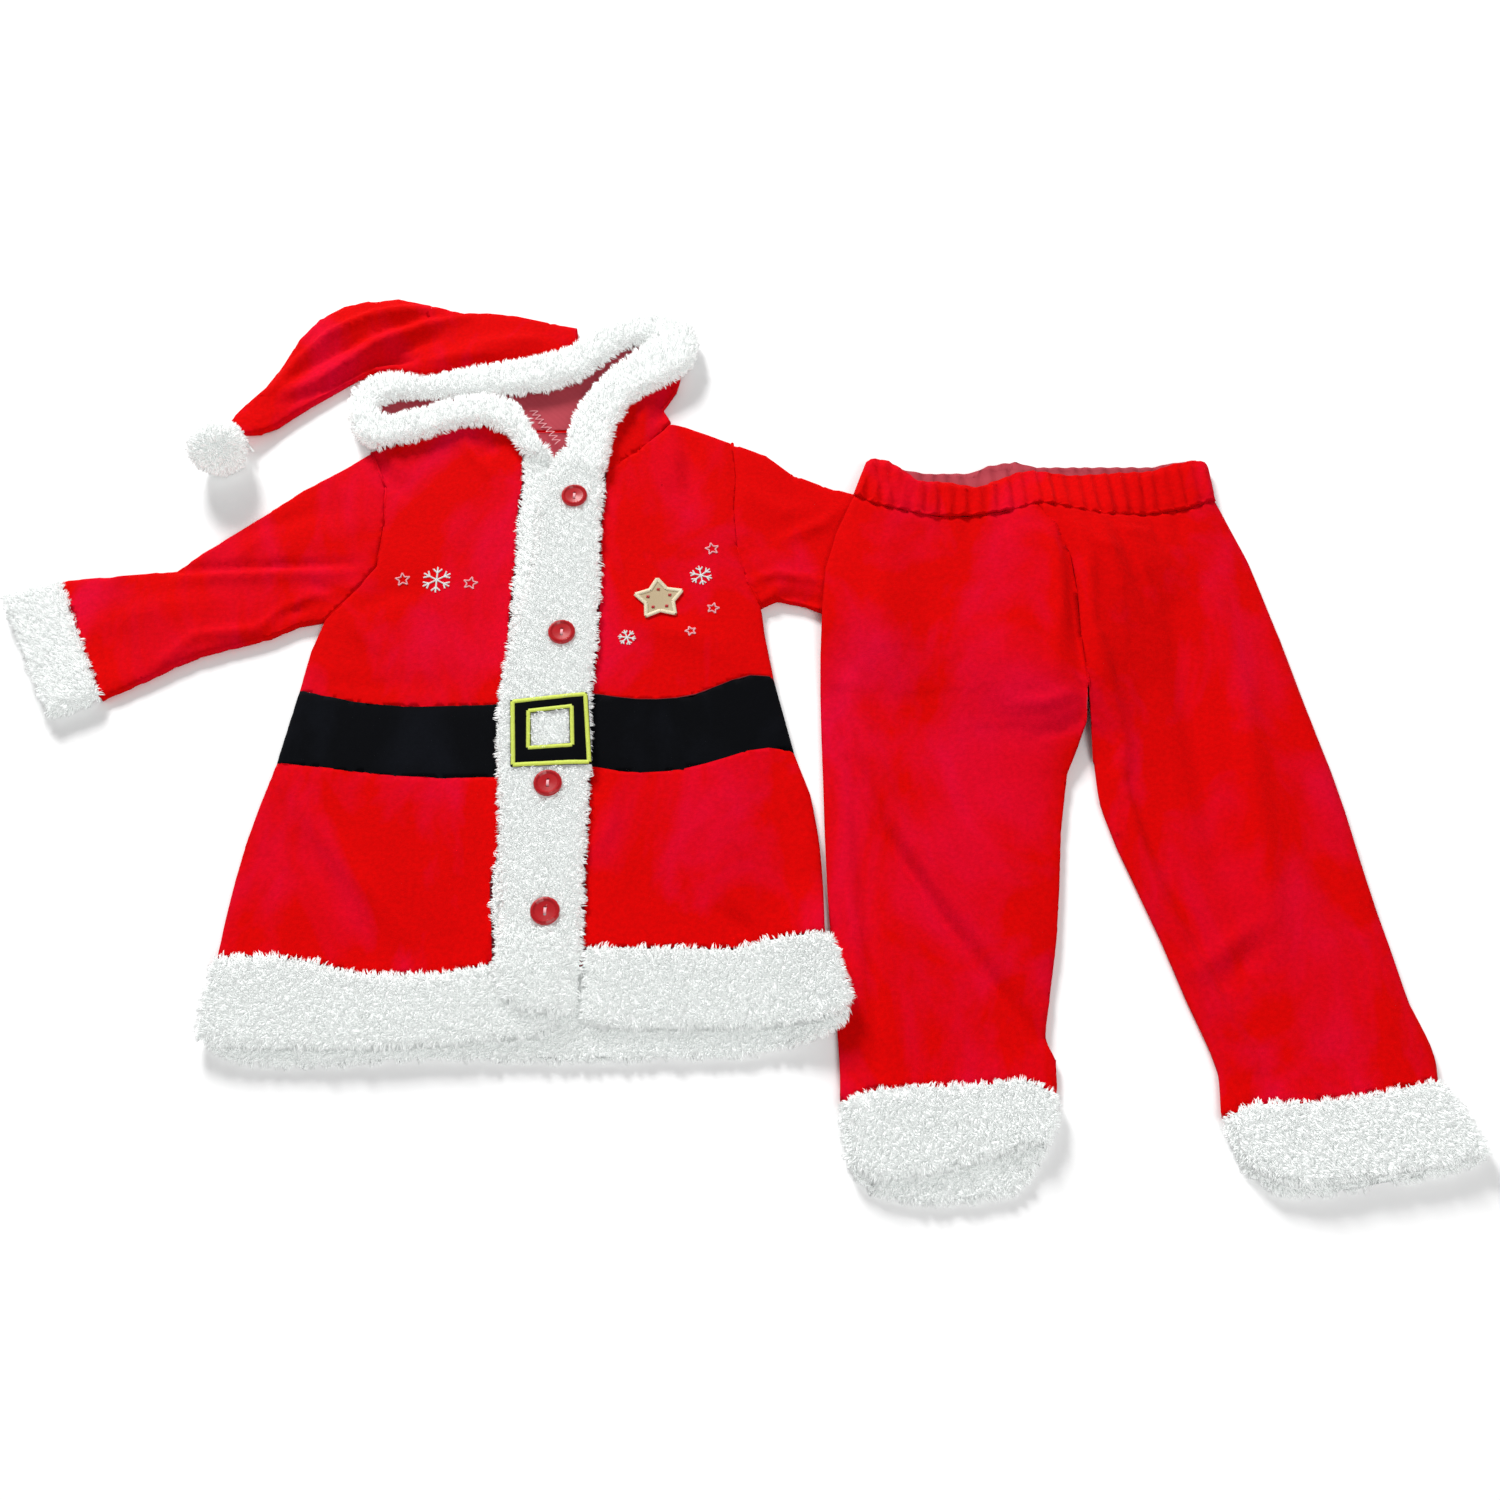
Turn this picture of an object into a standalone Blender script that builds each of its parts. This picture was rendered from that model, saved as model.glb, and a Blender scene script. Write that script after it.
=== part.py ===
"""A child's Santa suit of red velour and white sherpa fleece, laid flat: a hooded jacket with a long tail, and trousers.

Sizes are in millimetres and are turned into metres when a mesh is made. X runs across the two garments, Y towards the hood, Z up from the floor.
"Right" and "left" are the wearer's. The jacket lies face up, so its right side is towards -X. The trousers lie on the jacket's left sleeve.
"""

import math

import bmesh
import bpy

MM = 0.001

# Cloth walls and the heights at which the layers lie.
VELOUR = 1.6  # wall of a velour panel
FRONT_TOP = 6.2  # outer face of a front panel
BACK_SEAM, FRONT_SEAM = 2.9, 3.2  # side seams: the edge of a back panel, and of a front one
SHERPA = 4.6  # sherpa fleece with its pile
HEM_BACK = (0.0, 4.6)
HEM_FRONT = (5.1, 10.2)
CUFF = (0.0, 10.0)
UNDER_PLACKET = (2.0, 6.8)
TOP_PLACKET = (7.1, 12.0)
WAIST = (0.0, 8.0)
WAIST_WALL = 2.8
WAIST_GATHERS = 25  # gathers on the front of the waistband, and as many behind
GATHER_DEPTH = 1.1
ARC_STEPS = (0.0, 30.0, 60.0, 90.0)
TURN_STEPS = (45.0, 0.0, -45.0)

# Parts sewn on.
BUTTON_RADIUS, BUTTON_HEIGHT = 7.5, 3.0
BUTTON_HOLE_RADIUS, BUTTON_HOLE_SPACING = 0.9, 3.4
POMPOM_CENTRE, POMPOM_RADIUS, POMPOM_LOCK = (-275.0, 148.5, 17.6), 16.0, 2.6
BUCKLE_THICKNESS = 1.4

# Whatever lies under a piece lifts it: centre, direction, half length and half width of what is hidden, and how high.
HIDDEN_SLEEVE = dict(x=126.0, y=70.0, turn=-19.9, half_length=84.0, half_width=44.0, lift=6.7)
HIDDEN_CUFF = dict(x=206.0, y=42.5, turn=-19.9, half_length=19.0, half_width=46.0, lift=10.6)

# Main folds: start x, y, end x, y, width, height (a trough is negative).
JACKET_FOLDS = (
    (-185, 100, -150, 60, 9, 0.8),
    (-196, 45, -150, 22, 7, 0.8),
    (-200, 10, -120, 4, 8, -0.7),
    (-30, 40, 20, 18, 8, 0.8),
    (-5, 140, 15, 95, 9, 0.7),
    (-150, -75, -162, -150, 11, 0.8),
    (-120, -80, -118, -150, 8, -0.8),
    (10, -70, 22, -145, 10, 0.8),
    (42, -75, 48, -140, 8, -0.8),
)
SLEEVE_FOLDS = (
    (-285, 70, -200, 76, 5, -1.2),
    (-280, 80, -205, 90, 8, 1.2),
    (-215, 60, -190, 85, 6, 0.9),
    (-222, 45, -200, 48, 5, -0.9),
    (-320, 35, -250, 40, 10, 0.9),
    (32, 66, 62, 64, 5, -1.0),
    (34, 76, 66, 80, 6, 1.0),
    (35, 120, 60, 100, 8, 0.8),
)
TROUSER_FOLDS = (
    (96, -62, 128, -138, 8, -1.4),
    (128, -138, 173, -200, 8, -1.4),
    (108, -58, 142, -132, 9, 1.6),
    (142, -132, 178, -178, 8, 1.5),
    (298, -40, 293, -133, 10, 2.0),
    (226, -75, 240, -138, 7, -1.3),
    (240, -138, 277, -213, 8, -1.4),
    (238, -70, 256, -138, 9, 1.5),
    (205, -14, 165, -30, 8, 1.4),
    (222, -12, 262, -34, 8, 1.4),
    (206, -2, 175, 8, 6, -1.1),
    (222, 0, 256, 4, 6, -1.1),
    (110, 60, 104, 0, 9, 1.0),
    (290, 70, 300, 10, 9, 1.0),
    (96, -160, 120, -205, 9, 1.2),
    (315, -120, 335, -195, 10, 1.4),
)
TAIL_FOLDS = (
    (-251, 202, -201, 237, 6, 2.4),
    (-201, 237, -160, 256, 6, 2.4),
    (-240, 237, -214, 255, 5, 1.8),
    (-214, 255, -177, 265, 5, 1.8),
    (-192, 224, -171, 227, 5, -1.2),
    (-236, 214, -210, 236, 5, -1.2),
    (-150, 226, -100, 240, 6, 1.8),
)

# Edges that two panels share, listed downwards or outwards from the placket.
ARMHOLE_RIGHT = ((-189, 154), (-178, 128), (-176, 100), (-177, 72), (-190, 52), (-202, 37))
ARMHOLE_LEFT = ((23, 161), (25, 135), (24, 111), (26, 86), (31, 67), (40, 46))
NECK_RIGHT = ((-188.6, 154), (-165, 164), (-140, 173), (-118, 173), (-101.4, 158))
NECK_LEFT = ((-49.6, 141), (-40, 148), (-30, 157), (-20, 168), (-13, 177), (-4, 173), (10, 167), (22.6, 161))
BELT_TOP_RIGHT = ((-210, -8), (-193, -12), (-173, -16), (-148, -18), (-121, -17), (-101.4, -16.7))
BELT_TOP_LEFT = ((-51.4, -10), (-40, -12), (-23, -14), (-7, -13), (6, -10), (19, -4), (30, 1), (42, 2), (46.6, -1))
BELT_LOW_RIGHT = ((-216, -52), (-196, -54), (-175, -57), (-152, -60), (-126, -61), (-97.8, -60.4))
BELT_LOW_LEFT = ((-49.4, -54), (-34, -57), (-19, -58), (2, -55), (18, -50), (31, -45), (42, -43), (51, -43), (57, -46))
HEM_RIGHT = ((-230, -160), (-203, -159), (-182, -162), (-165, -167), (-153, -169), (-126, -169), (-107, -166), (-94, -163))
HEM_LEFT = ((-48.6, -154.6), (-25, -154.6), (-4, -154.6), (26, -155.6), (41, -150.6), (54, -148.6), (70.5, -148.6))
WAIST_RIGHT = ((92.5, 117), (105, 109.5), (119, 106), (131, 102.5), (146, 101), (163, 102), (186, 107), (197.8, 111))
WAIST_LEFT = ((198.2, 111), (218, 106.5), (235, 103.5), (259, 106.5), (284, 111.5), (303, 118.5))
ANKLE_RIGHT = ((76, -231.4), (89, -226), (109, -224), (143, -224), (160, -219.4), (179, -227.4))
ANKLE_LEFT = ((255.5, -239), (271, -232), (292, -232), (322, -229), (339, -225.4), (361, -221))

# One row a line: left x, left y, right x, right y, and how far the left and right edges curl to the seam (0 to 1).
BODICE_FRONT_RIGHT = (
    (-177.6, 128, -99.4, 134, 0, 0),
    (-175.6, 100, -100.4, 108, 0, 0),
    (-176.6, 72, -99.6, 78, 0, 0),
    (-189.6, 52, -100.2, 54, 0.1, 0),
    (-201.6, 37, -100.4, 36, 0.5, 0),
    (-207, 17, -99.6, 18, 1, 0),
)
BODICE_FRONT_LEFT = (
    (-50.0, 122, 24.6, 135, 0, 0),
    (-51.0, 102, 23.6, 111, 0, 0),
    (-50.2, 80, 25.6, 86, 0, 0),
    (-49.4, 62, 30.6, 67, 0, 0.1),
    (-49.4, 42, 39.6, 46, 0, 0.5),
    (-49.6, 24, 42, 26, 0, 1),
)
SKIRT_FRONT_RIGHT = (
    (-221, -76, -96.4, -80, 1, 0),
    (-225, -98, -95.8, -104, 1, 0),
    (-227.5, -120, -98.4, -122, 1, 0),
    (-229, -140, -96, -143, 1, 0),
)
SKIRT_FRONT_LEFT = (
    (-49.4, -75, 65, -70, 0, 1),
    (-49.4, -98, 69, -96, 0, 1),
    (-49.4, -120, 70.5, -120, 0, 1),
    (-48.8, -138, 70.5, -137, 0, 1),
)
HOOD_SIDE_RIGHT = (
    (-112, 171.5, -104, 177, 0, 0),
    (-120, 174, -114, 183, 0, 0),
    (-141, 173.6, -137, 184, 0, 0),
    (-165, 165, -160, 178, 0, 0),
    (-180, 158.6, -178, 171, 0, 0),
    (-189, 160, -186, 170, 0, 0),
)
HOOD_SIDE_LEFT = (
    (-60, 144, -50, 141.6, 0, 0),
    (-61, 158, -40, 148.8, 0, 0),
    (-58, 174, -27, 161, 0, 0),
    (-50, 190, -14, 178, 0, 0.6),
    (-42, 201, -18.5, 187, 0, 1),
    (-31, 209, -11, 201, 0, 1),
    (-21, 216, -8.5, 212, 0, 1),
    (-14, 222, -8, 219, 0, 1),
)
TROUSER_RIGHT = (
    (83, 94, 205.6, 94, 1, 0),
    (76, 70, 211.6, 76, 1, 0),
    (73.5, 46, 213.6, 50, 1, 0),
    (72, 15, 212.8, 20, 1, 0),
    (71.5, -12, 213.6, -8, 1, 0.1),
    (71.5, -35, 212, -30, 1, 0.6),
    (71.8, -61, 200, -58, 1, 1),
    (72, -94, 193.5, -92, 1, 1),
    (72.6, -124, 190, -122, 1, 1),
    (73.8, -151, 186, -150, 1, 1),
    (75, -180, 180, -180, 1, 1),
    (76, -204, 175.5, -201, 1, 1),
    (76.5, -219, 180, -212, 1, 1),
)
TROUSER_LEFT = (
    (206.2, 94, 309, 98, 0, 1),
    (212.2, 76, 315.5, 76, 0, 1),
    (214.2, 50, 320, 52, 0, 1),
    (213.4, 20, 326, 20, 0, 1),
    (214.2, -8, 330.5, -8, 0.1, 1),
    (215, -31, 335, -34, 0.6, 1),
    (215, -51, 339, -56, 1, 1),
    (215.5, -75, 342.5, -82, 1, 1),
    (221, -98, 345, -108, 1, 1),
    (230, -126, 348, -134, 1, 1),
    (238, -151, 351.5, -158, 1, 1),
    (246, -180, 355, -184, 1, 1),
    (254, -205, 361, -204, 1, 1),
    (257, -219, 362, -212, 1, 1),
)

# Sleeves and the hood's tail are flattened tubes: one edge x, y, the other edge x, y, lowest and highest z.
SLEEVE_RIGHT = (
    (-205, 141, -216, 34, 0, 6.2),
    (-225, 127, -231, 26, 0, 6.2),
    (-251, 104, -248, 20.5, 0, 6.2),
    (-276, 82, -266, 15, 0, 6.2),
    (-289, 71, -278, 9, 0, 6.2),
    (-320, 67.5, -295, -1.5, 0, 6.2),
    (-351.5, 64, -314.4, -12.6, 0, 6.2),
)
SLEEVE_LEFT = (
    (43, 152, 48, 50.5, 0, 6.2),
    (57, 139, 61, 48, 0, 6.2),
    (76, 130, 76, 42, 0, 6.2),
    (96, 123.5, 98, 34.5, 0, 6.2),
    (132, 111.5, 124, 25.5, 0, 6.2),
    (166, 100.5, 150, 16.8, 0, 6.2),
    (200, 89, 175, 8, 0, 6.2),
)
CUFF_RIGHT = ((-352, 63.2, -315, -13.2, 0, 10), (-368, 58.5, -328, -19.5, 0, 10), (-383, 52.6, -340.5, -24.5, 0, 9.6))
CUFF_LEFT = ((200.4, 88.6, 175.4, 7.6, 0, 10), (217, 83, 191, 2, 0, 10), (233, 76.5, 206, -3.5, 0, 9.6))
TAIL = (
    (-72, 238, -74, 252.5, 0, 5.4),
    (-82, 231.8, -92, 256, 0, 6.2),
    (-100, 225.8, -112, 261, 0, 6.8),
    (-120, 221.6, -130, 263.5, 0, 6.8),
    (-141, 217.8, -146, 263.5, 0, 6.8),
    (-162, 213, -166, 270, 0, 6.8),
    (-181, 216, -186, 275, 0, 6.8),
    (-196, 215.5, -203, 273.5, 0, 6.8),
    (-208, 208, -219, 268.5, 0, 6.8),
    (-219, 199, -233, 258, 0, 6.8),
    (-229, 191, -243, 241, 0, 6.8),
    (-238, 183, -250, 222, 0, 6.8),
    (-247, 174, -258, 203, 0.4, 7.2),
    (-256, 167, -268, 188, 2.6, 9.2),
    (-261.6, 164, -271.6, 178, 6, 12),
    (-265.4, 162, -272.2, 171.2, 9.4, 14.4),
)

# Sherpa bands: one edge x, y, the other edge x, y, lowest and highest z.
TOP_PLACKET_ROWS = (
    (-77, 147.5, -51, 134.5),
    (-85, 128, -51, 120),
    (-89, 107, -52, 102),
    (-88, 86, -51, 82),
    (-90, 59, -50, 57),
    (-95, 36, -50, 34),
    (-98, 16, -50, 15),
    (-101, -12, -52, -9),
    (-100.5, -36, -51.4, -34),
    (-98, -62, -50, -60),
    (-95, -92, -50, -90),
    (-93, -120, -50, -118),
    (-90.5, -146, -50, -142),
    (-91.5, -160, -49.4, -156),
    (-91.5, -172, -49.2, -170),
    (-86, -184, -49.2, -183),
    (-76, -190, -50, -191),
)
UNDER_PLACKET_ROWS = (
    (-101, 152, -79.5, 150),
    (-99, 134, -64, 130),
    (-100, 108, -63, 104),
    (-99.2, 78, -63, 76),
    (-100, 50, -63, 50),
    (-99.2, 18, -63, 18),
    (-101, -16, -63, -14),
    (-97.4, -60, -63, -60),
    (-95.4, -104, -63, -104),
    (-98, -122, -63, -120),
    (-95.6, -143, -63, -141),
    (-93.6, -158, -66, -158),
)
HEM_FRONT_RIGHT = (
    (-231, -160.6, -233, -202),
    (-218, -160.2, -221, -206),
    (-203, -159.6, -205, -206.6),
    (-182, -162.6, -183, -207),
    (-165, -167.6, -165, -207),
    (-145, -169.6, -145, -207),
    (-120, -169, -120, -205.6),
    (-100, -165.2, -100, -203.6),
    (-84, -163, -82, -202),
    (-68, -163, -68, -200.6),
    (-58, -165, -59, -197),
)
HEM_FRONT_LEFT = (
    (-48.4, -155.2, -48.4, -194),
    (-38, -155.2, -38, -196.4),
    (-20, -155.2, -20, -197),
    (2, -155.4, 2, -197),
    (26, -156.2, 28, -196.6),
    (41, -151.2, 44, -196),
    (54, -149.2, 62, -195),
    (68, -149.4, 75, -192),
    (75, -152, 83.6, -185),
)
HEM_BACK_ROWS = (
    (-229.4, -161, -228, -206),
    (-215, -162, -214, -212),
    (-184, -164, -184, -215),
    (-150, -170.2, -150, -212.4),
    (-126, -170.2, -126, -211),
    (-90, -166.6, -90, -211.4),
    (-50, -163.2, -50, -212),
    (-25, -161.4, -25, -211.6),
    (2, -159.4, 2, -210.6),
    (26, -157.4, 28, -209.6),
    (41, -154.8, 44, -207),
    (54, -152.6, 62, -203),
    (68, -151, 75, -198),
    (75, -153, 82, -190),
)
HOOD_TRIM = (
    (-100.6, 155.8, -79.6, 153.6, 6.5, 12.6),
    (-105, 161, -87, 164.5, 6.5, 13.4),
    (-113, 167, -98, 175.5, 6.5, 14),
    (-122, 170.6, -106, 186.5, 6.5, 14),
    (-131, 171, -118, 192, 6.5, 14),
    (-142, 168.6, -136, 190.8, 6.5, 14),
    (-158, 162, -153, 185.4, 6.5, 14),
    (-173, 156.8, -168, 179.6, 6.5, 14),
    (-187, 153.2, -180, 176, 6.5, 14),
    (-197, 160, -184.6, 178, 6.5, 14),
    (-203, 171.6, -187.4, 181, 6.5, 14),
    (-205, 184, -188.4, 184.6, 5.2, 13),
    (-204, 197, -187.6, 188.4, 3.4, 12),
    (-196.6, 207.6, -184.6, 191.6, 2.2, 11.2),
    (-184, 212.4, -177, 193.6, 2, 11),
    (-162, 209, -158, 194.6, 2, 11),
    (-141, 214.4, -138, 195.6, 2, 11),
    (-113, 221, -112, 197.4, 2, 11),
    (-91, 225.6, -89, 200.6, 2, 11),
    (-75, 233, -69, 209, 2, 11),
    (-63, 246, -57, 221, 2, 11),
    (-47, 255, -46, 233, 2, 11),
    (-26, 259, -36, 237.4, 2, 11),
    (-10, 256.6, -30, 238.2, 2.6, 11.6),
    (-1, 246, -27, 236.8, 4.4, 12.6),
    (2, 231, -27, 234.2, 6.5, 13.6),
    (-2, 216, -31, 230.2, 6.5, 14.2),
    (-10, 207.6, -38, 223, 6.5, 14.4),
    (-23, 199, -48, 213.6, 6.5, 14.4),
    (-37, 189, -58, 201.6, 6.5, 14.4),
    (-46, 171, -67, 186, 6.5, 14.4),
    (-50, 153.6, -73, 171, 6.5, 14),
    (-50.6, 139, -76.4, 152.8, 6.8, 13.2),
)

# Buttons: x, y of their centres, top to bottom. Buckle: corners of its outer and inner outline.
BUTTONS = ((-67, 116), (-69, 24), (-71, -68), (-68, -139))
BUCKLE_OUTER = ((-93.6, -18.6), (-53.4, -13.6), (-49.4, -56), (-90.6, -58.2))
BUCKLE_INNER = ((-83, -26), (-62, -23), (-60.4, -44.6), (-81.6, -46.4))


def smooth_step(value):
    value = min(max(value, 0.0), 1.0)
    return value * value * (3 - 2 * value)


def level(x, y):
    return 0.0


def over_hidden(x, y):
    """How far the jacket's hidden sleeve and cuff lift the trousers at a point."""
    highest = 0.0
    for hidden in (HIDDEN_SLEEVE, HIDDEN_CUFF):
        turn = math.radians(hidden["turn"])
        dx, dy = x - hidden["x"], y - hidden["y"]
        along = abs(dx * math.cos(turn) + dy * math.sin(turn)) - hidden["half_length"]
        aside = abs(dy * math.cos(turn) - dx * math.sin(turn)) - hidden["half_width"]
        away = math.hypot(max(along, 0), max(aside, 0))
        highest = max(highest, hidden["lift"] * smooth_step(1 - (away - 9) / 30))
    return highest


def over_leg(x, y):
    """How far the trousers' leg lifts the jacket's lower left corner."""
    return 6.9 * smooth_step((x - 48) / 24) * smooth_step((-116 - y) / 30)


def over_hem(x, y):
    """The top placket climbs over the right front's hem, and falls at its sewn edge."""
    fall = smooth_step((x + 57) / 7)
    return 3.3 * smooth_step((-146 - y) / 14) * (1 - fall) - 2.3 * fall


def folded(folds, x, y):
    """Height of the cloth's folds at a point, each one fading off round its line."""
    height = 0.0
    for x0, y0, x1, y1, width, rise in folds:
        dx, dy = x1 - x0, y1 - y0
        share = ((x - x0) * dx + (y - y0) * dy) / (dx * dx + dy * dy)
        share = min(max(share, 0.0), 1.0)
        away = math.hypot(x - x0 - share * dx, y - y0 - share * dy)
        height += rise * math.exp(-((away / width) ** 2))
    return height


def length_of(line):
    return sum(math.dist(a, b) for a, b in zip(line, line[1:]))


def on_line(line, share):
    """The point at a share of a line's length."""
    left = length_of(line) * share
    for a, b in zip(line, line[1:]):
        step = math.dist(a, b)
        if left <= step or b is line[-1]:
            t = left / step
            return a[0] + t * (b[0] - a[0]), a[1] + t * (b[1] - a[1])
        left -= step


def between(a, b, t):
    return tuple(p + t * (q - p) for p, q in zip(a, b))


def shifted(line, dx, dy):
    return tuple((x + dx, y + dy) for x, y in line)


def srgb(code):
    parts = [int(code[i : i + 2], 16) / 255 for i in (1, 3, 5)]
    return [p / 12.92 if p <= 0.04045 else ((p + 0.055) / 1.055) ** 2.4 for p in parts]


def cloth(name, colour, roughness):
    material = bpy.data.materials.new(name)
    material.use_nodes = True
    shader = material.node_tree.nodes["Principled BSDF"]
    shader.inputs["Base Color"].default_value = (*srgb(colour), 1)
    shader.inputs["Roughness"].default_value = roughness
    return material


def add_piece(name, points, faces, material):
    mesh = bpy.data.meshes.new(name)
    mesh.from_pydata([(x * MM, y * MM, z * MM) for x, y, z in points], [], faces)
    shell = bmesh.new()
    shell.from_mesh(mesh)
    bmesh.ops.recalc_face_normals(shell, faces=shell.faces)
    shell.to_mesh(mesh)
    shell.free()
    mesh.shade_smooth()
    mesh.set_sharp_from_angle(angle=math.radians(55))
    mesh.materials.append(material)
    piece = bpy.data.objects.new(name, mesh)
    bpy.context.scene.collection.objects.link(piece)
    return piece


def edge_steps(radius, wall, curl):
    """Steps in from an edge that curls to its seam: (outer, inner, share of the full height)."""
    steps = []
    for angle in ARC_STEPS:
        a = math.radians(angle)
        outer = radius * (1 - math.cos(a))
        inner = outer + curl * (radius - (radius - wall) * math.cos(a) - outer)
        steps.append((outer, inner, 1 - curl + curl * math.sin(a)))
    return steps


def panel(name, rows, curls, face, seam, material, columns=9, ends=None, lift=level, folds=()):
    """A cloth wall over rows of lines. face is its outer height and seam the height its curled edges reach.

    curls holds the curl of the left and right edge for each row, and ends those of the first and last row.
    """
    sign = 1 if face > seam else -1
    radius = abs(face - seam)
    first, last = ends or ((0, 0), (0, 0))
    start = math.dist(on_line(rows[0], 0.5), on_line(rows[1], 0.5))
    finish = math.dist(on_line(rows[-1], 0.5), on_line(rows[-2], 0.5))
    grid = []
    top = len(rows) - 1

    def along(v, share):
        i = min(int(v), top - 1)
        return between(on_line(rows[i], share), on_line(rows[i + 1], share), v - i)

    def curl_at(v, side):
        i = min(int(v), top - 1)
        return curls[i][side] + (curls[i + 1][side] - curls[i][side]) * (v - i)

    stations = []
    if max(first) > 0:
        stations += [("first", angle) for angle in ARC_STEPS]
    else:
        stations.append(("row", 0))
    stations += [("row", i) for i in range(1, top)]
    if max(last) > 0:
        stations += [("last", angle) for angle in reversed(ARC_STEPS)]
    else:
        stations.append(("row", top))
    for kind, value in stations:
        row = []
        v = {"row": value, "first": 0, "last": top}[kind]
        width = length_of(rows[v])
        left = edge_steps(radius, VELOUR, curl_at(v, 0))
        right = edge_steps(radius, VELOUR, curl_at(v, 1))
        across = list(left)
        for i in range(1, columns):
            middle = radius + (width - 2 * radius) * i / columns
            across.append((middle, middle, 1.0))
        across += [(width - o, width - n, share) for o, n, share in reversed(right)]
        for outer, inner, rise in across:
            share_out, share_in = outer / width, inner / width
            v_out = v_in = v
            if kind != "row":
                end = first if kind == "first" else last
                curl = end[0] + (end[1] - end[0]) * smooth_step(share_out * 2 - 0.5)
                a = math.radians(value)
                out_step = radius * (1 - math.cos(a))
                in_step = out_step + curl * (radius - (radius - VELOUR) * math.cos(a) - out_step)
                reach = start if kind == "first" else finish
                way = 1 if kind == "first" else -1
                v_out, v_in = v + way * out_step / reach, v + way * in_step / reach
                rise *= 1 - curl + curl * math.sin(a)
            xo, yo = along(v_out, share_out)
            xi, yi = along(v_in, share_in)
            fold = folded(folds, xo, yo) * smooth_step(rise)
            zo = seam + (face - seam) * rise + lift(xo, yo) + fold
            zi = seam + (face - sign * VELOUR - seam) * rise + lift(xi, yi) + min(fold, 0.5)
            row.append(((xo, yo, zo), (xi, yi, zi)))
        grid.append(row)
    wide, high = len(grid[0]), len(grid)
    points = [pair[0] for row in grid for pair in row] + [pair[1] for row in grid for pair in row]
    inside = wide * high
    faces = []
    for i in range(high - 1):
        for j in range(wide - 1):
            a, b, c, d = i * wide + j, i * wide + j + 1, (i + 1) * wide + j + 1, (i + 1) * wide + j
            faces += [(a, b, c, d), (inside + d, inside + c, inside + b, inside + a)]
    rim = [j for j in range(wide)]
    rim += [i * wide + wide - 1 for i in range(1, high)]
    rim += [(high - 1) * wide + j for j in range(wide - 2, -1, -1)]
    rim += [i * wide for i in range(high - 2, 0, -1)]
    for a, b in zip(rim, rim[1:] + rim[:1]):
        faces.append((a, b, inside + b, inside + a))
    return add_piece(name, points, faces, material)


def turned(width, low, high, columns, wall=0.0):
    """A flattened ring round a laid tube: (distance across, height, share of the way up)."""
    radius = (high - low) / 2
    side = min(radius, width * 0.45)
    middle = (low + high) / 2
    up, out = radius - wall, max(side - wall, 0.3)
    ring = [(side + (width - 2 * side) * i / columns, middle + up, 1.0) for i in range(columns + 1)]
    for angle in TURN_STEPS:
        a = math.radians(angle)
        ring.append((width - side + out * math.cos(a), middle + up * math.sin(a), 0.5 + 0.5 * math.sin(a)))
    ring += [(side + (width - 2 * side) * i / columns, middle - up, 0.0) for i in range(columns, -1, -1)]
    for angle in reversed(TURN_STEPS):
        a = math.radians(angle)
        ring.append((side - out * math.cos(a), middle + up * math.sin(a), 0.5 + 0.5 * math.sin(a)))
    return ring


def laid_ring(row, columns, wall=0.0, lift=level, folds=(), gathers=0):
    """The points of one flattened ring. A row is its upper line, lower line, lowest and highest z."""
    upper, lower, low, high = row
    width = (length_of(upper) + length_of(lower)) / 2
    points = []
    for across, z, share in turned(width, low, high, columns, wall):
        t = across / width
        x, y = between(on_line(lower, t), on_line(upper, t), share)
        fold = folded(folds, x, y) * share
        if gathers and wall == 0:
            wave = GATHER_DEPTH * (0.5 - 0.5 * math.cos(2 * math.pi * gathers * (t - 0.02)))
            z += wave * (1 - 2 * share)
        points.append((x, y, z + lift(x, y) + (min(fold, 0.4) if wall else fold)))
    return points


def ring_faces(rings, size, flip=False, start=0):
    faces = []
    for i in range(rings - 1):
        for j in range(size):
            k = (j + 1) % size
            quad = (start + i * size + j, start + i * size + k, start + (i + 1) * size + k, start + (i + 1) * size + j)
            faces.append(quad[::-1] if flip else quad)
    return faces


def tube(name, rows, wall, material, columns=8, **shape):
    """A flattened cloth tube, open at both ends."""
    outer = [laid_ring(row, columns, 0.0, **shape) for row in rows]
    inner = [laid_ring(row, columns, wall, **shape) for row in rows]
    size, count = len(outer[0]), len(rows)
    points = [p for ring in outer + inner for p in ring]
    faces = ring_faces(count, size) + ring_faces(count, size, True, count * size)
    for end in (0, count - 1):
        for j in range(size):
            k = (j + 1) % size
            a, b = end * size + j, end * size + k
            faces.append((a, b, b + count * size, a + count * size))
    return add_piece(name, points, faces, material)


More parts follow.
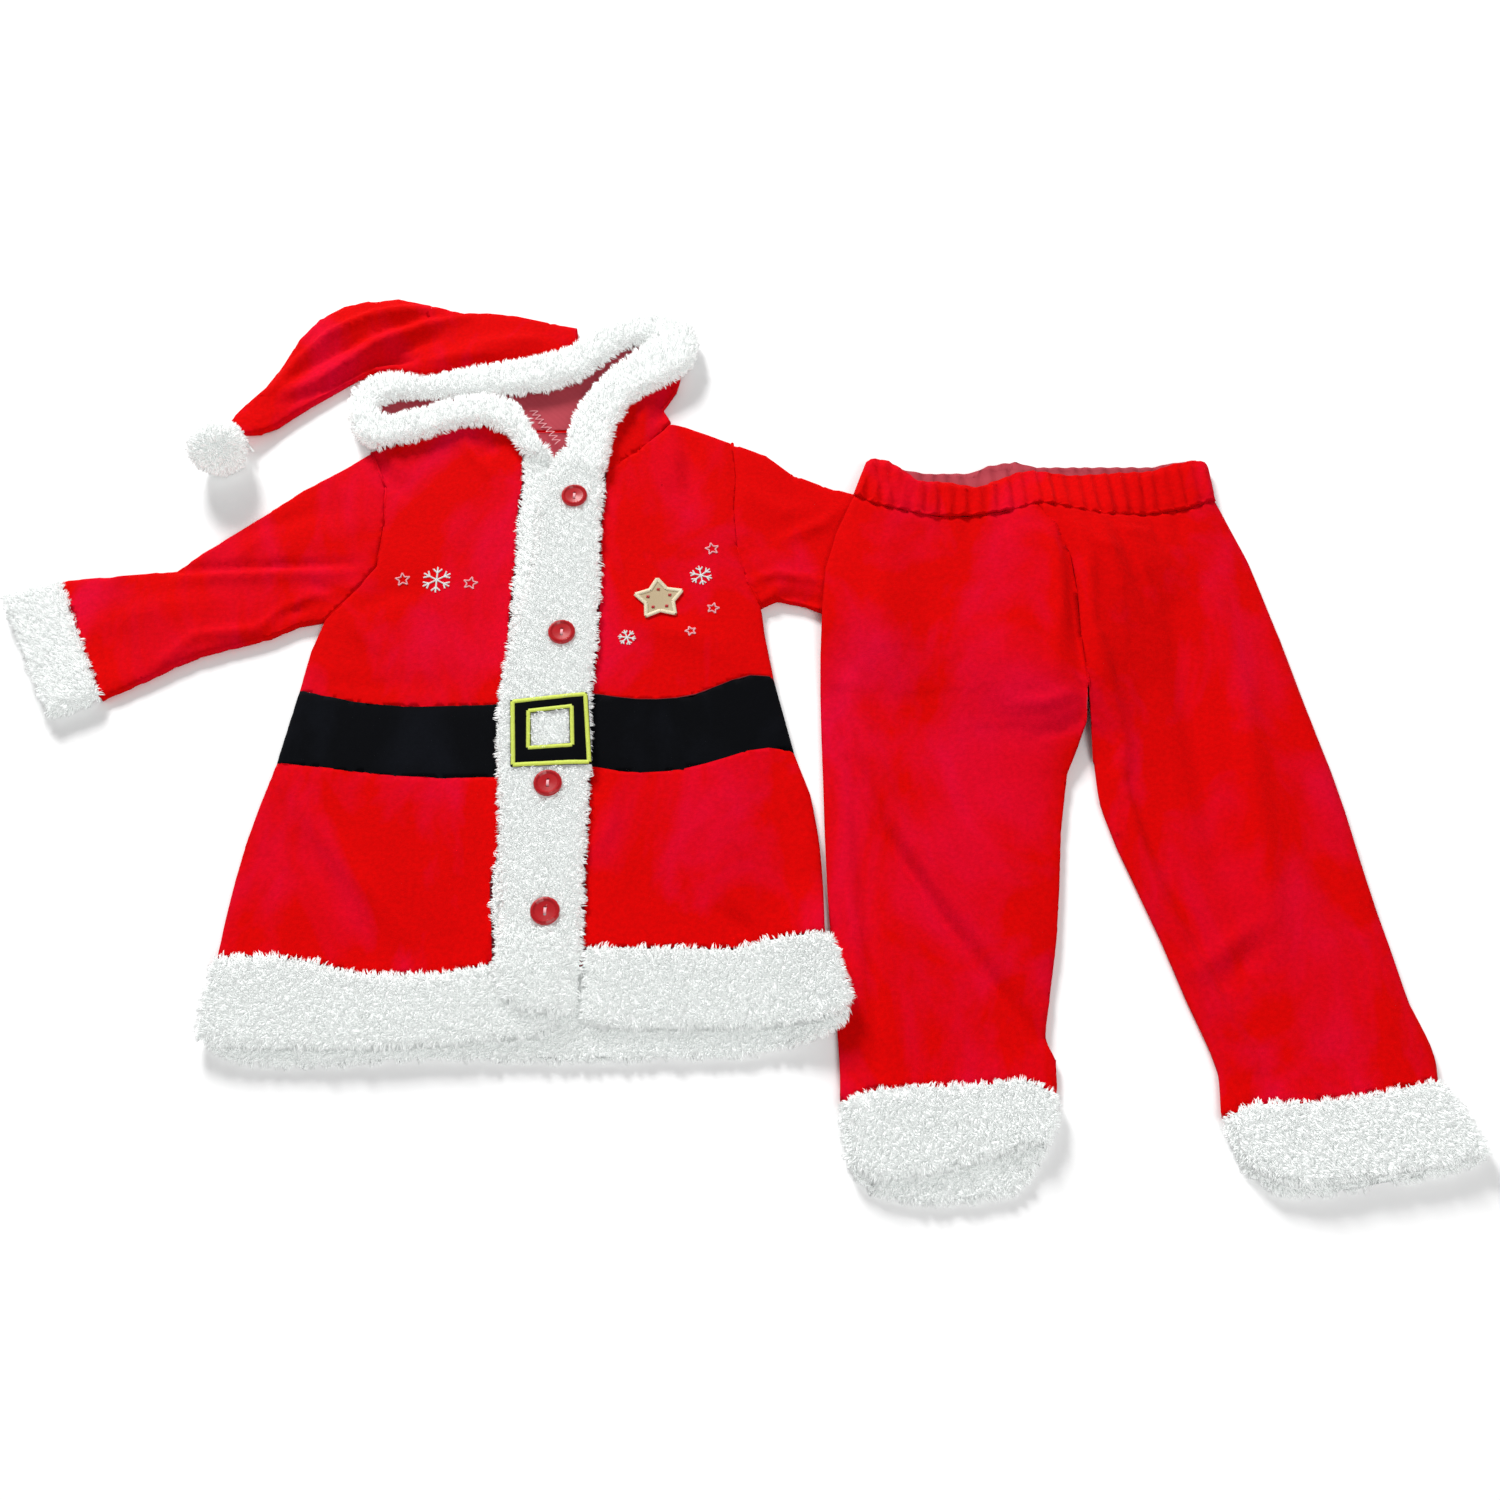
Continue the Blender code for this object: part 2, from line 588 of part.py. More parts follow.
def band(name, rows, material, columns=4, lift=level):
    """A band of sherpa with its pile: rounded along both edges and at both ends."""
    lined = [(((r[0], r[1]), (r[2], r[3])),) * 2 + (r[4], r[5]) for r in rows]

    def row_at(v):
        i = min(int(v), len(lined) - 2)
        a, b, t = lined[i], lined[i + 1], v - i
        line = tuple(between(p, q, t) for p, q in zip(a[0], b[0]))
        return line, line, a[2] + t * (b[2] - a[2]), a[3] + t * (b[3] - a[3])

    def end_rows(first):
        v0, v1 = (0, 1) if first else (len(lined) - 1, len(lined) - 2)
        reach = math.dist(on_line(lined[v0][0], 0.5), on_line(lined[v1][0], 0.5))
        found = []
        for angle in (25.0, 60.0):
            a = math.radians(angle)
            radius = (lined[v0][3] - lined[v0][2]) / 2
            line, _, low, high = row_at(v0 + (v1 - v0) * radius * (1 - math.cos(a)) / reach)
            middle, half = (low + high) / 2, (high - low) / 2 * math.sin(a)
            found.append((line, line, middle - half, middle + half))
        radius = (lined[v0][3] - lined[v0][2]) / 2
        found.append(row_at(v0 + (v1 - v0) * radius / reach))
        return found if first else found[::-1]

    body = end_rows(True) + lined[1:-1] + end_rows(False)
    rings = [laid_ring(row, columns, 0.0, lift) for row in body]
    size = len(rings[0])
    faces = ring_faces(len(rings), size)
    turn = len(TURN_STEPS)
    for start in (0, (len(rings) - 1) * size):
        upper = [start + j for j in range(columns + 1)]
        right = [start + columns + 1 + j for j in range(turn)]
        lower = [start + columns + 1 + turn + j for j in range(columns + 1)][::-1]
        left = [start + 2 * (columns + 1) + turn + j for j in range(turn)]
        faces += [(upper[j], upper[j + 1], lower[j + 1], lower[j]) for j in range(columns)]
        faces += [(upper[-1], *right, lower[-1]), (lower[0], *left, upper[0])]
    return add_piece(name, [p for ring in rings for p in ring], faces, material)


def lines(table):
    """Rows of a panel's table as lines, and their curls."""
    return [((r[0], r[1]), (r[2], r[3])) for r in table], [(r[4], r[5]) for r in table]


def front_and_back(name, rows, curls, material, **shape):
    front = panel(name.format("front"), rows, curls, FRONT_TOP, FRONT_SEAM, material, **shape)
    shape["folds"] = ()
    back = panel(name.format("back"), rows, curls, 0.0, BACK_SEAM, material, **shape)
    return front, back


def build_jacket_body(red, black):
    rows, curls = lines(BODICE_FRONT_RIGHT)
    rows = [NECK_RIGHT, *rows, BELT_TOP_RIGHT]
    panel("bodice_front_right", rows, [(0, 0), *curls, (1, 0)], FRONT_TOP, FRONT_SEAM, red, folds=JACKET_FOLDS)
    rows, curls = lines(BODICE_FRONT_LEFT)
    rows = [NECK_LEFT, *rows, BELT_TOP_LEFT]
    panel(
        "bodice_front_left", rows, [(0, 0), *curls, (0, 1)], FRONT_TOP, FRONT_SEAM, red,
        ends=((0, 1), (0, 0)), folds=JACKET_FOLDS,
    )
    panel(
        "belt_front_right", [shifted(BELT_TOP_RIGHT, 0, -0.4), shifted(BELT_LOW_RIGHT, 0, 0)], [(1, 0)] * 2,
        FRONT_TOP, FRONT_SEAM, black,
    )
    panel(
        "belt_front_left", [shifted(BELT_TOP_LEFT, 0, -0.4), shifted(BELT_LOW_LEFT, 0, 0)], [(0, 1)] * 2,
        FRONT_TOP, FRONT_SEAM, black,
    )
    rows, curls = lines(SKIRT_FRONT_RIGHT)
    rows = [shifted(BELT_LOW_RIGHT, 0, -0.4), *rows, HEM_RIGHT]
    panel("skirt_front_right", rows, [(1, 0), *curls, (1, 0)], FRONT_TOP, FRONT_SEAM, red, folds=JACKET_FOLDS)
    rows, curls = lines(SKIRT_FRONT_LEFT)
    rows = [shifted(BELT_LOW_LEFT, 0, -0.4), *rows, HEM_LEFT]
    panel(
        "skirt_front_left", rows, [(0, 1), *curls, (0, 1)], FRONT_TOP, FRONT_SEAM, red,
        lift=over_leg, folds=JACKET_FOLDS,
    )
    # The back is whole across, so its rows take the outer ends of both fronts.
    back = [(right[0:2], left[2:4]) for right, left in zip(BODICE_FRONT_RIGHT, BODICE_FRONT_LEFT)]
    curls = [(right[4], left[5]) for right, left in zip(BODICE_FRONT_RIGHT, BODICE_FRONT_LEFT)]
    neck = ((-188.6, 154), (-165, 165), (-120, 172), (-60, 172), (-13, 177), (22.6, 161))
    belt_top = ((-210, -8), (-90, -13), (46.6, -1))
    belt_low = ((-216, -52), (-90, -58), (57, -46))
    panel(
        "bodice_back", [neck, *back, belt_top], [(0, 0), *curls, (1, 1)], 0.0, BACK_SEAM, red,
        columns=14, ends=((0, 1), (0, 0)),
    )
    panel("belt_back", [shifted(belt_top, 0, -0.4), belt_low], [(1, 1)] * 2, 0.0, BACK_SEAM, black, columns=12)
    back = [(right[0:2], left[2:4]) for right, left in zip(SKIRT_FRONT_RIGHT, SKIRT_FRONT_LEFT)]
    hem = (
        (-229.6, -160), (-184, -163), (-150, -169.4), (-126, -169.4), (-90, -165.8), (-25, -160.6),
        (26, -156.4), (70.5, -149.6),
    )
    panel(
        "skirt_back", [shifted(belt_low, 0, -0.4), *back, hem], [(1, 1)] * (len(back) + 2), 0.0, BACK_SEAM, red,
        columns=20, lift=over_leg,
    )


def build_sleeves(red, white):
    for side, armhole, rows, cuff, shift in (
        ("right", ARMHOLE_RIGHT, SLEEVE_RIGHT, CUFF_RIGHT, -0.4),
        ("left", ARMHOLE_LEFT, SLEEVE_LEFT, CUFF_LEFT, 0.4),
    ):
        edge = shifted(armhole, shift, 0)
        laid = [(edge, edge, 0.0, FRONT_TOP)]
        laid += [(((r[0], r[1]), (r[2], r[3])),) * 2 + (r[4], r[5]) for r in rows]
        tube(f"sleeve_{side}", laid, VELOUR, red, columns=9, folds=SLEEVE_FOLDS)
        laid = [(((r[0], r[1]), (r[2], r[3])),) * 2 + (r[4], r[5]) for r in cuff]
        tube(f"sleeve_cuff_{side}", laid, SHERPA, white, columns=6)


def build_edges(white):
    band("hem_front_right", [(*r, *HEM_FRONT) for r in HEM_FRONT_RIGHT], white)
    band("hem_front_left", [(*r, *HEM_FRONT) for r in HEM_FRONT_LEFT], white, lift=over_leg)
    band("hem_back", [(*r, *HEM_BACK) for r in HEM_BACK_ROWS], white, lift=over_leg)
    band("placket_under", [(*r, *UNDER_PLACKET) for r in UNDER_PLACKET_ROWS], white)
    band("placket_top", [(*r, *TOP_PLACKET) for r in TOP_PLACKET_ROWS], white, columns=6, lift=over_hem)


def build_hood(red, white):
    rows, curls = lines(HOOD_SIDE_RIGHT)
    panel("hood_side_right", rows, curls, FRONT_TOP, FRONT_SEAM, red, columns=3)
    rows, curls = lines(HOOD_SIDE_LEFT)
    panel("hood_side_left", rows, curls, FRONT_TOP, FRONT_SEAM, red, columns=3)
    rows = [
        ((-166, 166.2), (-120, 173.4), (-60, 173.4), (-15, 178.4)),
        ((-190, 178), (-120, 184), (-60, 184), (-18.5, 187)),
        ((-194, 190), (-120, 193), (-60, 197), (-15, 195)),
        ((-194, 203), (-120, 206), (-60, 218), (-9, 210)),
        ((-181, 215.6), (-162, 212.4), (-141, 217.2), (-120, 221), (-100, 225.2), (-82, 231.2), (-72, 237.4), (-52, 239), (-14, 240)),
    ]
    panel("hood_back", rows, [(0, 1), (0, 1), (0, 1), (0, 1), (0, 0)], 0.0, BACK_SEAM, red, columns=18)
    band("hood_trim", HOOD_TRIM, white, columns=3)
    laid = [(((r[0], r[1]), (r[2], r[3])),) * 2 + (r[4], r[5]) for r in TAIL]
    tube("hood_tail", laid, VELOUR, red, columns=7, folds=TAIL_FOLDS)


def build_pompom(white):
    """A stuffed sherpa ball with short three-sided locks, the lowest of them left short of the floor."""
    ball = bmesh.new()
    bmesh.ops.create_icosphere(ball, subdivisions=3, radius=POMPOM_RADIUS * MM)
    locks = [face for i, face in enumerate(ball.faces) if i % 3 == 0]
    for face in locks:
        normal = face.normal.copy()
        if normal.z < -0.5:
            continue
        lock = bmesh.ops.extrude_discrete_faces(ball, faces=[face])["faces"][0]
        centre = lock.calc_center_median()
        for vertex in lock.verts:
            vertex.co = centre + (vertex.co - centre) * 0.45 + normal * POMPOM_LOCK * MM
    x, y, z = POMPOM_CENTRE
    bmesh.ops.translate(ball, verts=ball.verts, vec=(x * MM, y * MM, z * MM))
    mesh = bpy.data.meshes.new("pompom")
    ball.to_mesh(mesh)
    ball.free()
    mesh.shade_smooth()
    mesh.materials.append(white)
    bpy.context.scene.collection.objects.link(bpy.data.objects.new("pompom", mesh))


def build_buckle(black):
    """The square buckle is a flat velour ring sewn on the top placket, so it follows the placket's face."""
    points, faces, count = [], [], 0
    for z in (TOP_PLACKET[1] + 0.3, TOP_PLACKET[1] + 0.3 + BUCKLE_THICKNESS):
        for outline in (BUCKLE_OUTER, BUCKLE_INNER):
            for a, b in zip(outline, outline[1:] + outline[:1]):
                for step in range(4):
                    x, y = between(a, b, step / 4)
                    points.append((x, y, z - 0.9 * smooth_step((x + 60) / 10)))
    for i in range(16):
        j = (i + 1) % 16
        faces.append((i, j, 16 + j, 16 + i))
        faces.append((32 + i, 48 + i, 48 + j, 32 + j))
        faces.append((i, 32 + i, 32 + j, j))
        faces.append((16 + i, 16 + j, 48 + j, 48 + i))
    add_piece("buckle", points, faces, black)


def build_button(name, x, y, material):
    """A two-hole plastic button with a raised rim and a dished middle."""
    profile = ((0, 0.2), (5.6, 0.2), (7.5, 1.2), (7.3, 2.5), (6.2, 3.0), (5.1, 2.3), (0, 1.8))
    button = bmesh.new()
    ring = [button.verts.new((r * MM, 0, z * MM)) for r, z in profile]
    edges = [button.edges.new(pair) for pair in zip(ring, ring[1:])]
    bmesh.ops.spin(
        button, geom=ring + edges, axis=(0, 0, 1), cent=(0, 0, 0), angle=2 * math.pi, steps=18, use_merge=True
    )
    bmesh.ops.remove_doubles(button, verts=button.verts, dist=0.00001)
    bmesh.ops.recalc_face_normals(button, faces=button.faces)
    mesh = bpy.data.meshes.new(name)
    button.to_mesh(mesh)
    button.free()
    mesh.shade_smooth()
    mesh.set_sharp_from_angle(angle=math.radians(50))
    mesh.materials.append(material)
    piece = bpy.data.objects.new(name, mesh)
    piece.location = (x * MM, y * MM, (TOP_PLACKET[1] + 0.1) * MM)
    bpy.context.scene.collection.objects.link(piece)
    cutter = bmesh.new()
    for side in (-0.5, 0.5):
        made = bmesh.ops.create_cone(
            cutter, cap_ends=True, segments=8,
            radius1=BUTTON_HOLE_RADIUS * MM, radius2=BUTTON_HOLE_RADIUS * MM, depth=0.012,
        )
        bmesh.ops.translate(cutter, verts=made["verts"], vec=(0, side * BUTTON_HOLE_SPACING * MM, 0))
    mesh = bpy.data.meshes.new(name + "_holes")
    cutter.to_mesh(mesh)
    cutter.free()
    holes = bpy.data.objects.new(name + "_holes", mesh)
    holes.location = piece.location
    holes.hide_render = True
    bpy.context.scene.collection.objects.link(holes)
    cut = piece.modifiers.new("holes", "BOOLEAN")
    cut.operation, cut.solver, cut.object = "DIFFERENCE", "EXACT", holes


def build_trousers(red, white):
    rows, curls = lines(TROUSER_RIGHT)
    rows = [WAIST_RIGHT, *rows, ANKLE_RIGHT]
    curls = [(1, 0), *curls, (1, 1)]
    front_and_back("trouser_{}_right", rows, curls, red, columns=9, lift=over_hidden, folds=TROUSER_FOLDS)
    rows, curls = lines(TROUSER_LEFT)
    rows = [WAIST_LEFT, *rows, ANKLE_LEFT]
    curls = [(0, 1), *curls, (1, 1)]
    front_and_back("trouser_{}_left", rows, curls, red, columns=9, lift=over_hidden, folds=TROUSER_FOLDS)

    seam = shifted(WAIST_RIGHT + WAIST_LEFT[1:], 0, 1.3)
    front_top = (
        (101, 143), (107, 145), (114, 144), (121, 137), (131, 127), (147, 127), (165, 124), (175, 131),
        (188, 138), (198, 140), (221, 136), (246, 138), (267, 139), (279, 144), (296, 148), (302, 144),
    )
    back_top = (
        (101, 143), (110, 145), (124, 138), (137, 136), (152, 138), (162, 139), (173, 145), (189, 148),
        (201, 144), (222, 144), (248, 144), (269, 144), (280, 147), (296, 149), (302, 144),
    )
    front_middle = [between(on_line(seam, i / 16), on_line(front_top, i / 16), 0.85) for i in range(17)]
    back_middle = [between(on_line(seam, i / 16), on_line(back_top, i / 16), 0.88) for i in range(17)]
    rows = [
        (seam, seam, *WAIST),
        (front_middle, back_middle, *WAIST),
        (front_top, back_top, WAIST[0] + 0.9, WAIST[1] - 1.2),
    ]
    tube(
        "waistband", rows, WAIST_WALL, red, columns=3 * WAIST_GATHERS,
        lift=over_hidden, gathers=WAIST_GATHERS,
    )
    ankle = shifted(ANKLE_RIGHT, 0, -1.2)
    middle = ((77, -250), (100, -249), (140, -246), (178, -242))
    front = ((79, -262), (91, -269), (107, -267), (124, -265), (140, -260), (154, -256), (173, -250))
    back = ((79, -262), (87, -273), (101, -277), (118, -280), (130, -278), (154, -275), (163, -268), (173, -251))
    tube("leg_cuff_right", [(ankle, ankle, *CUFF), (middle, middle, *CUFF), (front, back, *CUFF)], SHERPA, white)
    ankle = shifted(ANKLE_LEFT, 0, -1.2)
    middle = ((257.6, -250), (290, -251), (330, -248), (371, -238))
    front = ((261, -258), (270, -268), (286, -272), (308, -269), (340, -264), (360, -261), (377, -255))
    back = ((261, -259), (268, -271), (286, -276), (308, -274), (340, -268), (358, -265), (378, -258))
    tube("leg_cuff_left", [(ankle, ankle, *CUFF), (middle, middle, *CUFF), (front, back, *CUFF)], SHERPA, white)


def centre_on_floor(pieces):
    """Moves the whole layout, as one, so that the middle of its outline is the origin."""
    bpy.context.view_layer.update()
    corners = [piece.matrix_world @ vertex.co for piece in pieces for vertex in piece.data.vertices]
    middle = [(min(c[axis] for c in corners) + max(c[axis] for c in corners)) / 2 for axis in (0, 1)]
    for piece in bpy.data.objects:
        piece.location.x -= middle[0]
        piece.location.y -= middle[1]


def main():
    for old in list(bpy.data.objects):
        bpy.data.objects.remove(old)
    red = cloth("red_velour", "#D80408", 0.85)
    black = cloth("black_velour", "#0D0E12", 0.85)
    white = cloth("white_sherpa", "#F0F0EC", 0.95)
    plastic = cloth("red_plastic", "#B6121A", 0.25)
    build_jacket_body(red, black)
    build_sleeves(red, white)
    build_edges(white)
    build_hood(red, white)
    build_pompom(white)
    build_buckle(black)
    for i, (x, y) in enumerate(BUTTONS):
        build_button(f"button_{i + 1}", x, y, plastic)
    build_trousers(red, white)
    centre_on_floor([piece for piece in bpy.data.objects if not piece.hide_render])


main()
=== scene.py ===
# %% [markdown]
# # A child's Santa suit, laid flat
# The real suit is a hooded jacket and a pair of trousers, cut from red polyester velour and edged with white sherpa
# fleece.
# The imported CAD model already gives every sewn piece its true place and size, as plain panels and tubes.
# This lesson dresses those pieces. It refines the cloth, presses in the creases, grows the fleece lock by lock, and
# sews on the satin-stitched buckle and the embroidery.
# Sizes in the tables are millimetres, measured from the jacket's own zero. X runs across, Y towards the hood and Z
# up from the floor.

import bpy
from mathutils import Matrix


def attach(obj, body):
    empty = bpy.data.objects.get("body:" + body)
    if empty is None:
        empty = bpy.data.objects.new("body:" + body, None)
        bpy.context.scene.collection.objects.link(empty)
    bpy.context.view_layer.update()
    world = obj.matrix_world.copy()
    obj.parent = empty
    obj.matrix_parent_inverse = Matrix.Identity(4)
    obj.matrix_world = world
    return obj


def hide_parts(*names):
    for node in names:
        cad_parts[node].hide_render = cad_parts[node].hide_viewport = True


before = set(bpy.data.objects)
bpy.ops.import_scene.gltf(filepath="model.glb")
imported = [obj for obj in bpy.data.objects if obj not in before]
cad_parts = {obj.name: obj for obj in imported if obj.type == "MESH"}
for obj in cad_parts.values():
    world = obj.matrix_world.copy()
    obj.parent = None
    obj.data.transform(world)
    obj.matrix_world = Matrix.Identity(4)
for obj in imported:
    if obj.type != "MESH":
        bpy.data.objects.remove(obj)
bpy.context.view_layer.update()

import math

import bmesh
import bpy
import numpy as np
from mathutils import Vector, kdtree, noise
from mathutils.bvhtree import BVHTree

MM = 0.001
MIDDLE = (2.75, 2.35)  # the model is centred on the whole layout, this far from the jacket's zero
print(len(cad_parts), "sewn pieces in the frame")


def spot(x, y, z=0.0):
    """A place in the tables' millimetres, as a point of the scene in metres."""
    return Vector(((x + MIDDLE[0]) * MM, (y + MIDDLE[1]) * MM, z * MM))


def off_spot(place):
    """The X and Y of a point of the scene in the tables' millimetres."""
    return place.x / MM - MIDDLE[0], place.y / MM - MIDDLE[1]


def tree_of(points):
    """A search tree that finds the nearest of some points."""
    tree = kdtree.KDTree(max(len(points), 1))
    for i, point in enumerate(points):
        tree.insert(point, i)
    tree.balance()
    return tree


# %% [markdown]
# ## Camera, floor and light
# The photograph looks down at the floor from 62 degrees, so the far side of the layout is a little smaller.
# A camera takes its tilt from straight down, so 90 - 62 = 28 degrees. The lens comes from how fast the layout
# shrinks with distance.
# The light is a broad soft one behind and above, whose shadow falls towards us, with a weaker one from the front.
# Soft cloth has no glints to place, so two are enough.

# %% Camera
camera_data = bpy.data.cameras.new("camera")
camera_data.lens, camera_data.sensor_width = 37.37, 36.0
camera = bpy.data.objects.new("camera", camera_data)
camera.location = (0.03625, -0.4282, 0.7317)
camera.rotation_euler = (math.radians(28.0), 0.0, 0.0)
bpy.context.scene.collection.objects.link(camera)
bpy.context.scene.camera = camera
bpy.context.scene.view_settings.view_transform = "Standard"  # a filmic curve would dull this red
print("camera", round(camera.location.z * 1000), "mm above the floor")


# %% Soft lights
def add_light(name, place, size, watts):
    """A square soft light that faces the middle of the floor."""
    data = bpy.data.lights.new(name, "AREA")
    data.size, data.energy = size, watts
    light = bpy.data.objects.new(name, data)
    light.location = place
    light.rotation_euler = Vector(place).to_track_quat("Z", "Y").to_euler()
    bpy.context.scene.collection.objects.link(light)


add_light("light_key", (-1.1, 2.6, 1.75), 0.9, 118.0)
add_light("light_fill", (1.0, -1.8, 2.6), 1.6, 42.0)
world = bpy.data.worlds.new("studio")
world.use_nodes = True
backdrop = world.node_tree.nodes["Background"]
backdrop.inputs["Color"].default_value = (1, 1, 1, 1)
backdrop.inputs["Strength"].default_value = 0.29
bpy.context.scene.world = world
print(len(bpy.data.lights), "soft lights")


# %% [markdown]
# ## Materials
# Each material is a small tree of nodes on Object coordinates, which are metres here because every piece sits at
# the origin.
# A noise of scale 1/s has blobs about s across, so each scale is written as one over a real size.
# One function turns the sRGB hex of a colour picker into the linear colour that the shader wants, and one adds a
# node with its settings and links.


# %% Two helpers for materials
def linear(code):
    """An sRGB hex colour as linear RGBA."""
    parts = [int(code[i : i + 2], 16) / 255 for i in (1, 3, 5)]
    return (*[p / 12.92 if p <= 0.04045 else ((p + 0.055) / 1.055) ** 2.4 for p in parts], 1.0)


def add_node(material, kind, inputs=None, **settings):
    """A node with its settings. An input is a value, or the socket that feeds it."""
    made = material.node_tree.nodes.new(kind)
    for name, value in settings.items():
        setattr(made, name, value)
    for name, value in (inputs or {}).items():
        if isinstance(value, bpy.types.NodeSocket):
            material.node_tree.links.new(value, made.inputs[name])
        else:
            made.inputs[name].default_value = value
    return made


def new_material(name, **values):
    """A material and its shader, whose sockets are named with _ for a space."""
    material = bpy.data.materials.new(name)
    material.use_nodes = True
    shader = material.node_tree.nodes["Principled BSDF"]
    for socket, value in values.items():
        shader.inputs[socket.replace("_", " ")].default_value = value
    return material, shader


# %% [markdown]
# ### Polyester velour
# Velour is knitted cloth with a short cut pile, 0.5 to 1 mm deep. Its fibres scatter light, so it has no gloss, and
# where the pile was brushed the other way it catches the light as a crimson sheen. That sheen is painted into the
# colour: a broad noise between pure red and crimson lays painted sheen patches at random, a fine one gives the pile's
# grain, and the shader adds some real sheen. The specular level is near zero because a white gloss would wash the red
# out.


# %% Velour
def velour(name, body, brushed_sheen, sheen, sheen_weight):
    material, shader = new_material(
        name, Roughness=0.95, Specular_IOR_Level=0.05, Sheen_Weight=sheen_weight, Sheen_Roughness=0.45,
        Sheen_Tint=linear(sheen),
    )
    place = add_node(material, "ShaderNodeTexCoord").outputs["Object"]
    stretched = add_node(material, "ShaderNodeMapping", {"Vector": place, "Scale": (1.0, 0.55, 1.0)}).outputs[0]
    # painted sheen: broad stretched patches of noise where the colour turns crimson, standing in for the light the
    # brushed pile catches
    sheen_strokes = add_node(
        material,
        "ShaderNodeTexNoise",
        {"Vector": stretched, "Scale": 1 / 0.055, "Detail": 4.0, "Roughness": 0.55, "Distortion": 0.6},
    )
    share = add_node(
        material, "ShaderNodeMapRange", {"Value": sheen_strokes.outputs[0], "From Min": 0.48, "From Max": 0.76}, clamp=True
    )
    grain = add_node(material, "ShaderNodeTexNoise", {"Vector": place, "Scale": 1 / 0.0022, "Detail": 3.0})
    mixed = add_node(
        material, "ShaderNodeMix", {0: share.outputs[0], 6: linear(body), 7: linear(brushed_sheen)}, data_type="RGBA"
    )
    speck = add_node(
        material,
        "ShaderNodeMapRange",
        {"Value": grain.outputs[0], "From Min": 0.3, "From Max": 0.7, "To Min": 0.88, "To Max": 1.06},
    )
    colour = add_node(material, "ShaderNodeHueSaturation", {"Color": mixed.outputs[2], "Value": speck.outputs[0]})
    pile = add_node(material, "ShaderNodeTexNoise", {"Vector": place, "Scale": 1 / 0.0008, "Detail": 2.0})
    bump = add_node(material, "ShaderNodeBump", {"Height": pile.outputs[0], "Strength": 0.35, "Distance": 0.0004})
    material.node_tree.links.new(colour.outputs[0], shader.inputs["Base Color"])
    material.node_tree.links.new(bump.outputs[0], shader.inputs["Normal"])
    return material


# each velour's third colour is the crimson of its painted sheen patches, and the fourth the tint of the shader's own
# sheen
RED_VELOUR = velour("red_polyester_velour", "#D30101", "#D90632", "#FF1034", 0.08)
BLACK_VELOUR = velour("black_polyester_velour", "#07080B", "#101218", "#8A90A0", 0.05)
print(RED_VELOUR.name, "and", BLACK_VELOUR.name)

# %% [markdown]
# ### The back of the velour
# Inside the hood the cloth shows its reverse: a smooth pink-red knit. Its rows are about 0.9 mm apart, drawn at 1.1
# mm so that they show.

# %% Velour reverse
VELOUR_REVERSE, shader = new_material("velour_reverse_knit", Roughness=0.8, Specular_IOR_Level=0.15)
place = add_node(VELOUR_REVERSE, "ShaderNodeTexCoord").outputs["Object"]
rows = add_node(
    VELOUR_REVERSE,
    "ShaderNodeTexWave",
    {"Vector": place, "Scale": 0.5 / 0.0011 / 3.14, "Distortion": 1.0, "Detail": 1.0},
    bands_direction="DIAGONAL",
)
fade = add_node(VELOUR_REVERSE, "ShaderNodeTexNoise", {"Vector": place, "Scale": 1 / 0.03, "Detail": 2.0})
tone = add_node(
    VELOUR_REVERSE, "ShaderNodeMix", {0: fade.outputs[0], 6: linear("#A03440"), 7: linear("#B2444E")}, data_type="RGBA"
)
bump = add_node(VELOUR_REVERSE, "ShaderNodeBump", {"Height": rows.outputs[0], "Strength": 0.3, "Distance": 0.0003})
VELOUR_REVERSE.node_tree.links.new(tone.outputs[2], shader.inputs["Base Color"])
VELOUR_REVERSE.node_tree.links.new(bump.outputs[0], shader.inputs["Normal"])

# %% [markdown]
# ### Sherpa fleece
# Sherpa is a knitted backing with a curly white polyester pile that clumps into locks. The locks are real geometry
# further down, so the material only needs their colour: greyer at the root, where light doesn't reach, and clean
# white at the tip. The mesh carries a root-to-tip value for that.
# In real fleece light also passes through the fine fibres from lock to lock. A little emission stands for it.

# %% Sherpa
SHERPA, shader = new_material(
    "white_sherpa_pile", Roughness=0.9, Specular_IOR_Level=0.1, Emission_Color=linear("#F2F8F5"), Emission_Strength=0.2
)
tip = add_node(SHERPA, "ShaderNodeAttribute", attribute_name="root_to_tip").outputs["Fac"]
tone = add_node(SHERPA, "ShaderNodeMix", {0: tip, 6: linear("#F6F8F7"), 7: linear("#FFFFFF")}, data_type="RGBA")
SHERPA.node_tree.links.new(tone.outputs[2], shader.inputs["Base Color"])

SHERPA_BACKING, shader = new_material("white_sherpa_backing", Roughness=0.95, Specular_IOR_Level=0.1)
place = add_node(SHERPA_BACKING, "ShaderNodeTexCoord").outputs["Object"]
curls = add_node(SHERPA_BACKING, "ShaderNodeTexNoise", {"Vector": place, "Scale": 1 / 0.0018, "Detail": 3.0})
tone = add_node(
    SHERPA_BACKING, "ShaderNodeMix", {0: curls.outputs[0], 6: linear("#E2E5E4"), 7: linear("#FFFFFF")}, data_type="RGBA"
)
bump = add_node(SHERPA_BACKING, "ShaderNodeBump", {"Height": curls.outputs[0], "Strength": 0.8, "Distance": 0.0008})
SHERPA_BACKING.node_tree.links.new(tone.outputs[2], shader.inputs["Base Color"])
SHERPA_BACKING.node_tree.links.new(bump.outputs[0], shader.inputs["Normal"])


# %% [markdown]
# ### Threads and plastic
# Embroidery thread is glossy polyester, laid side by side. Its fine ply is drawn as small specks of noise, 0.5 mm
# across. The buttons are moulded polyester resin, which is smooth and shiny with an IOR near 1.5.


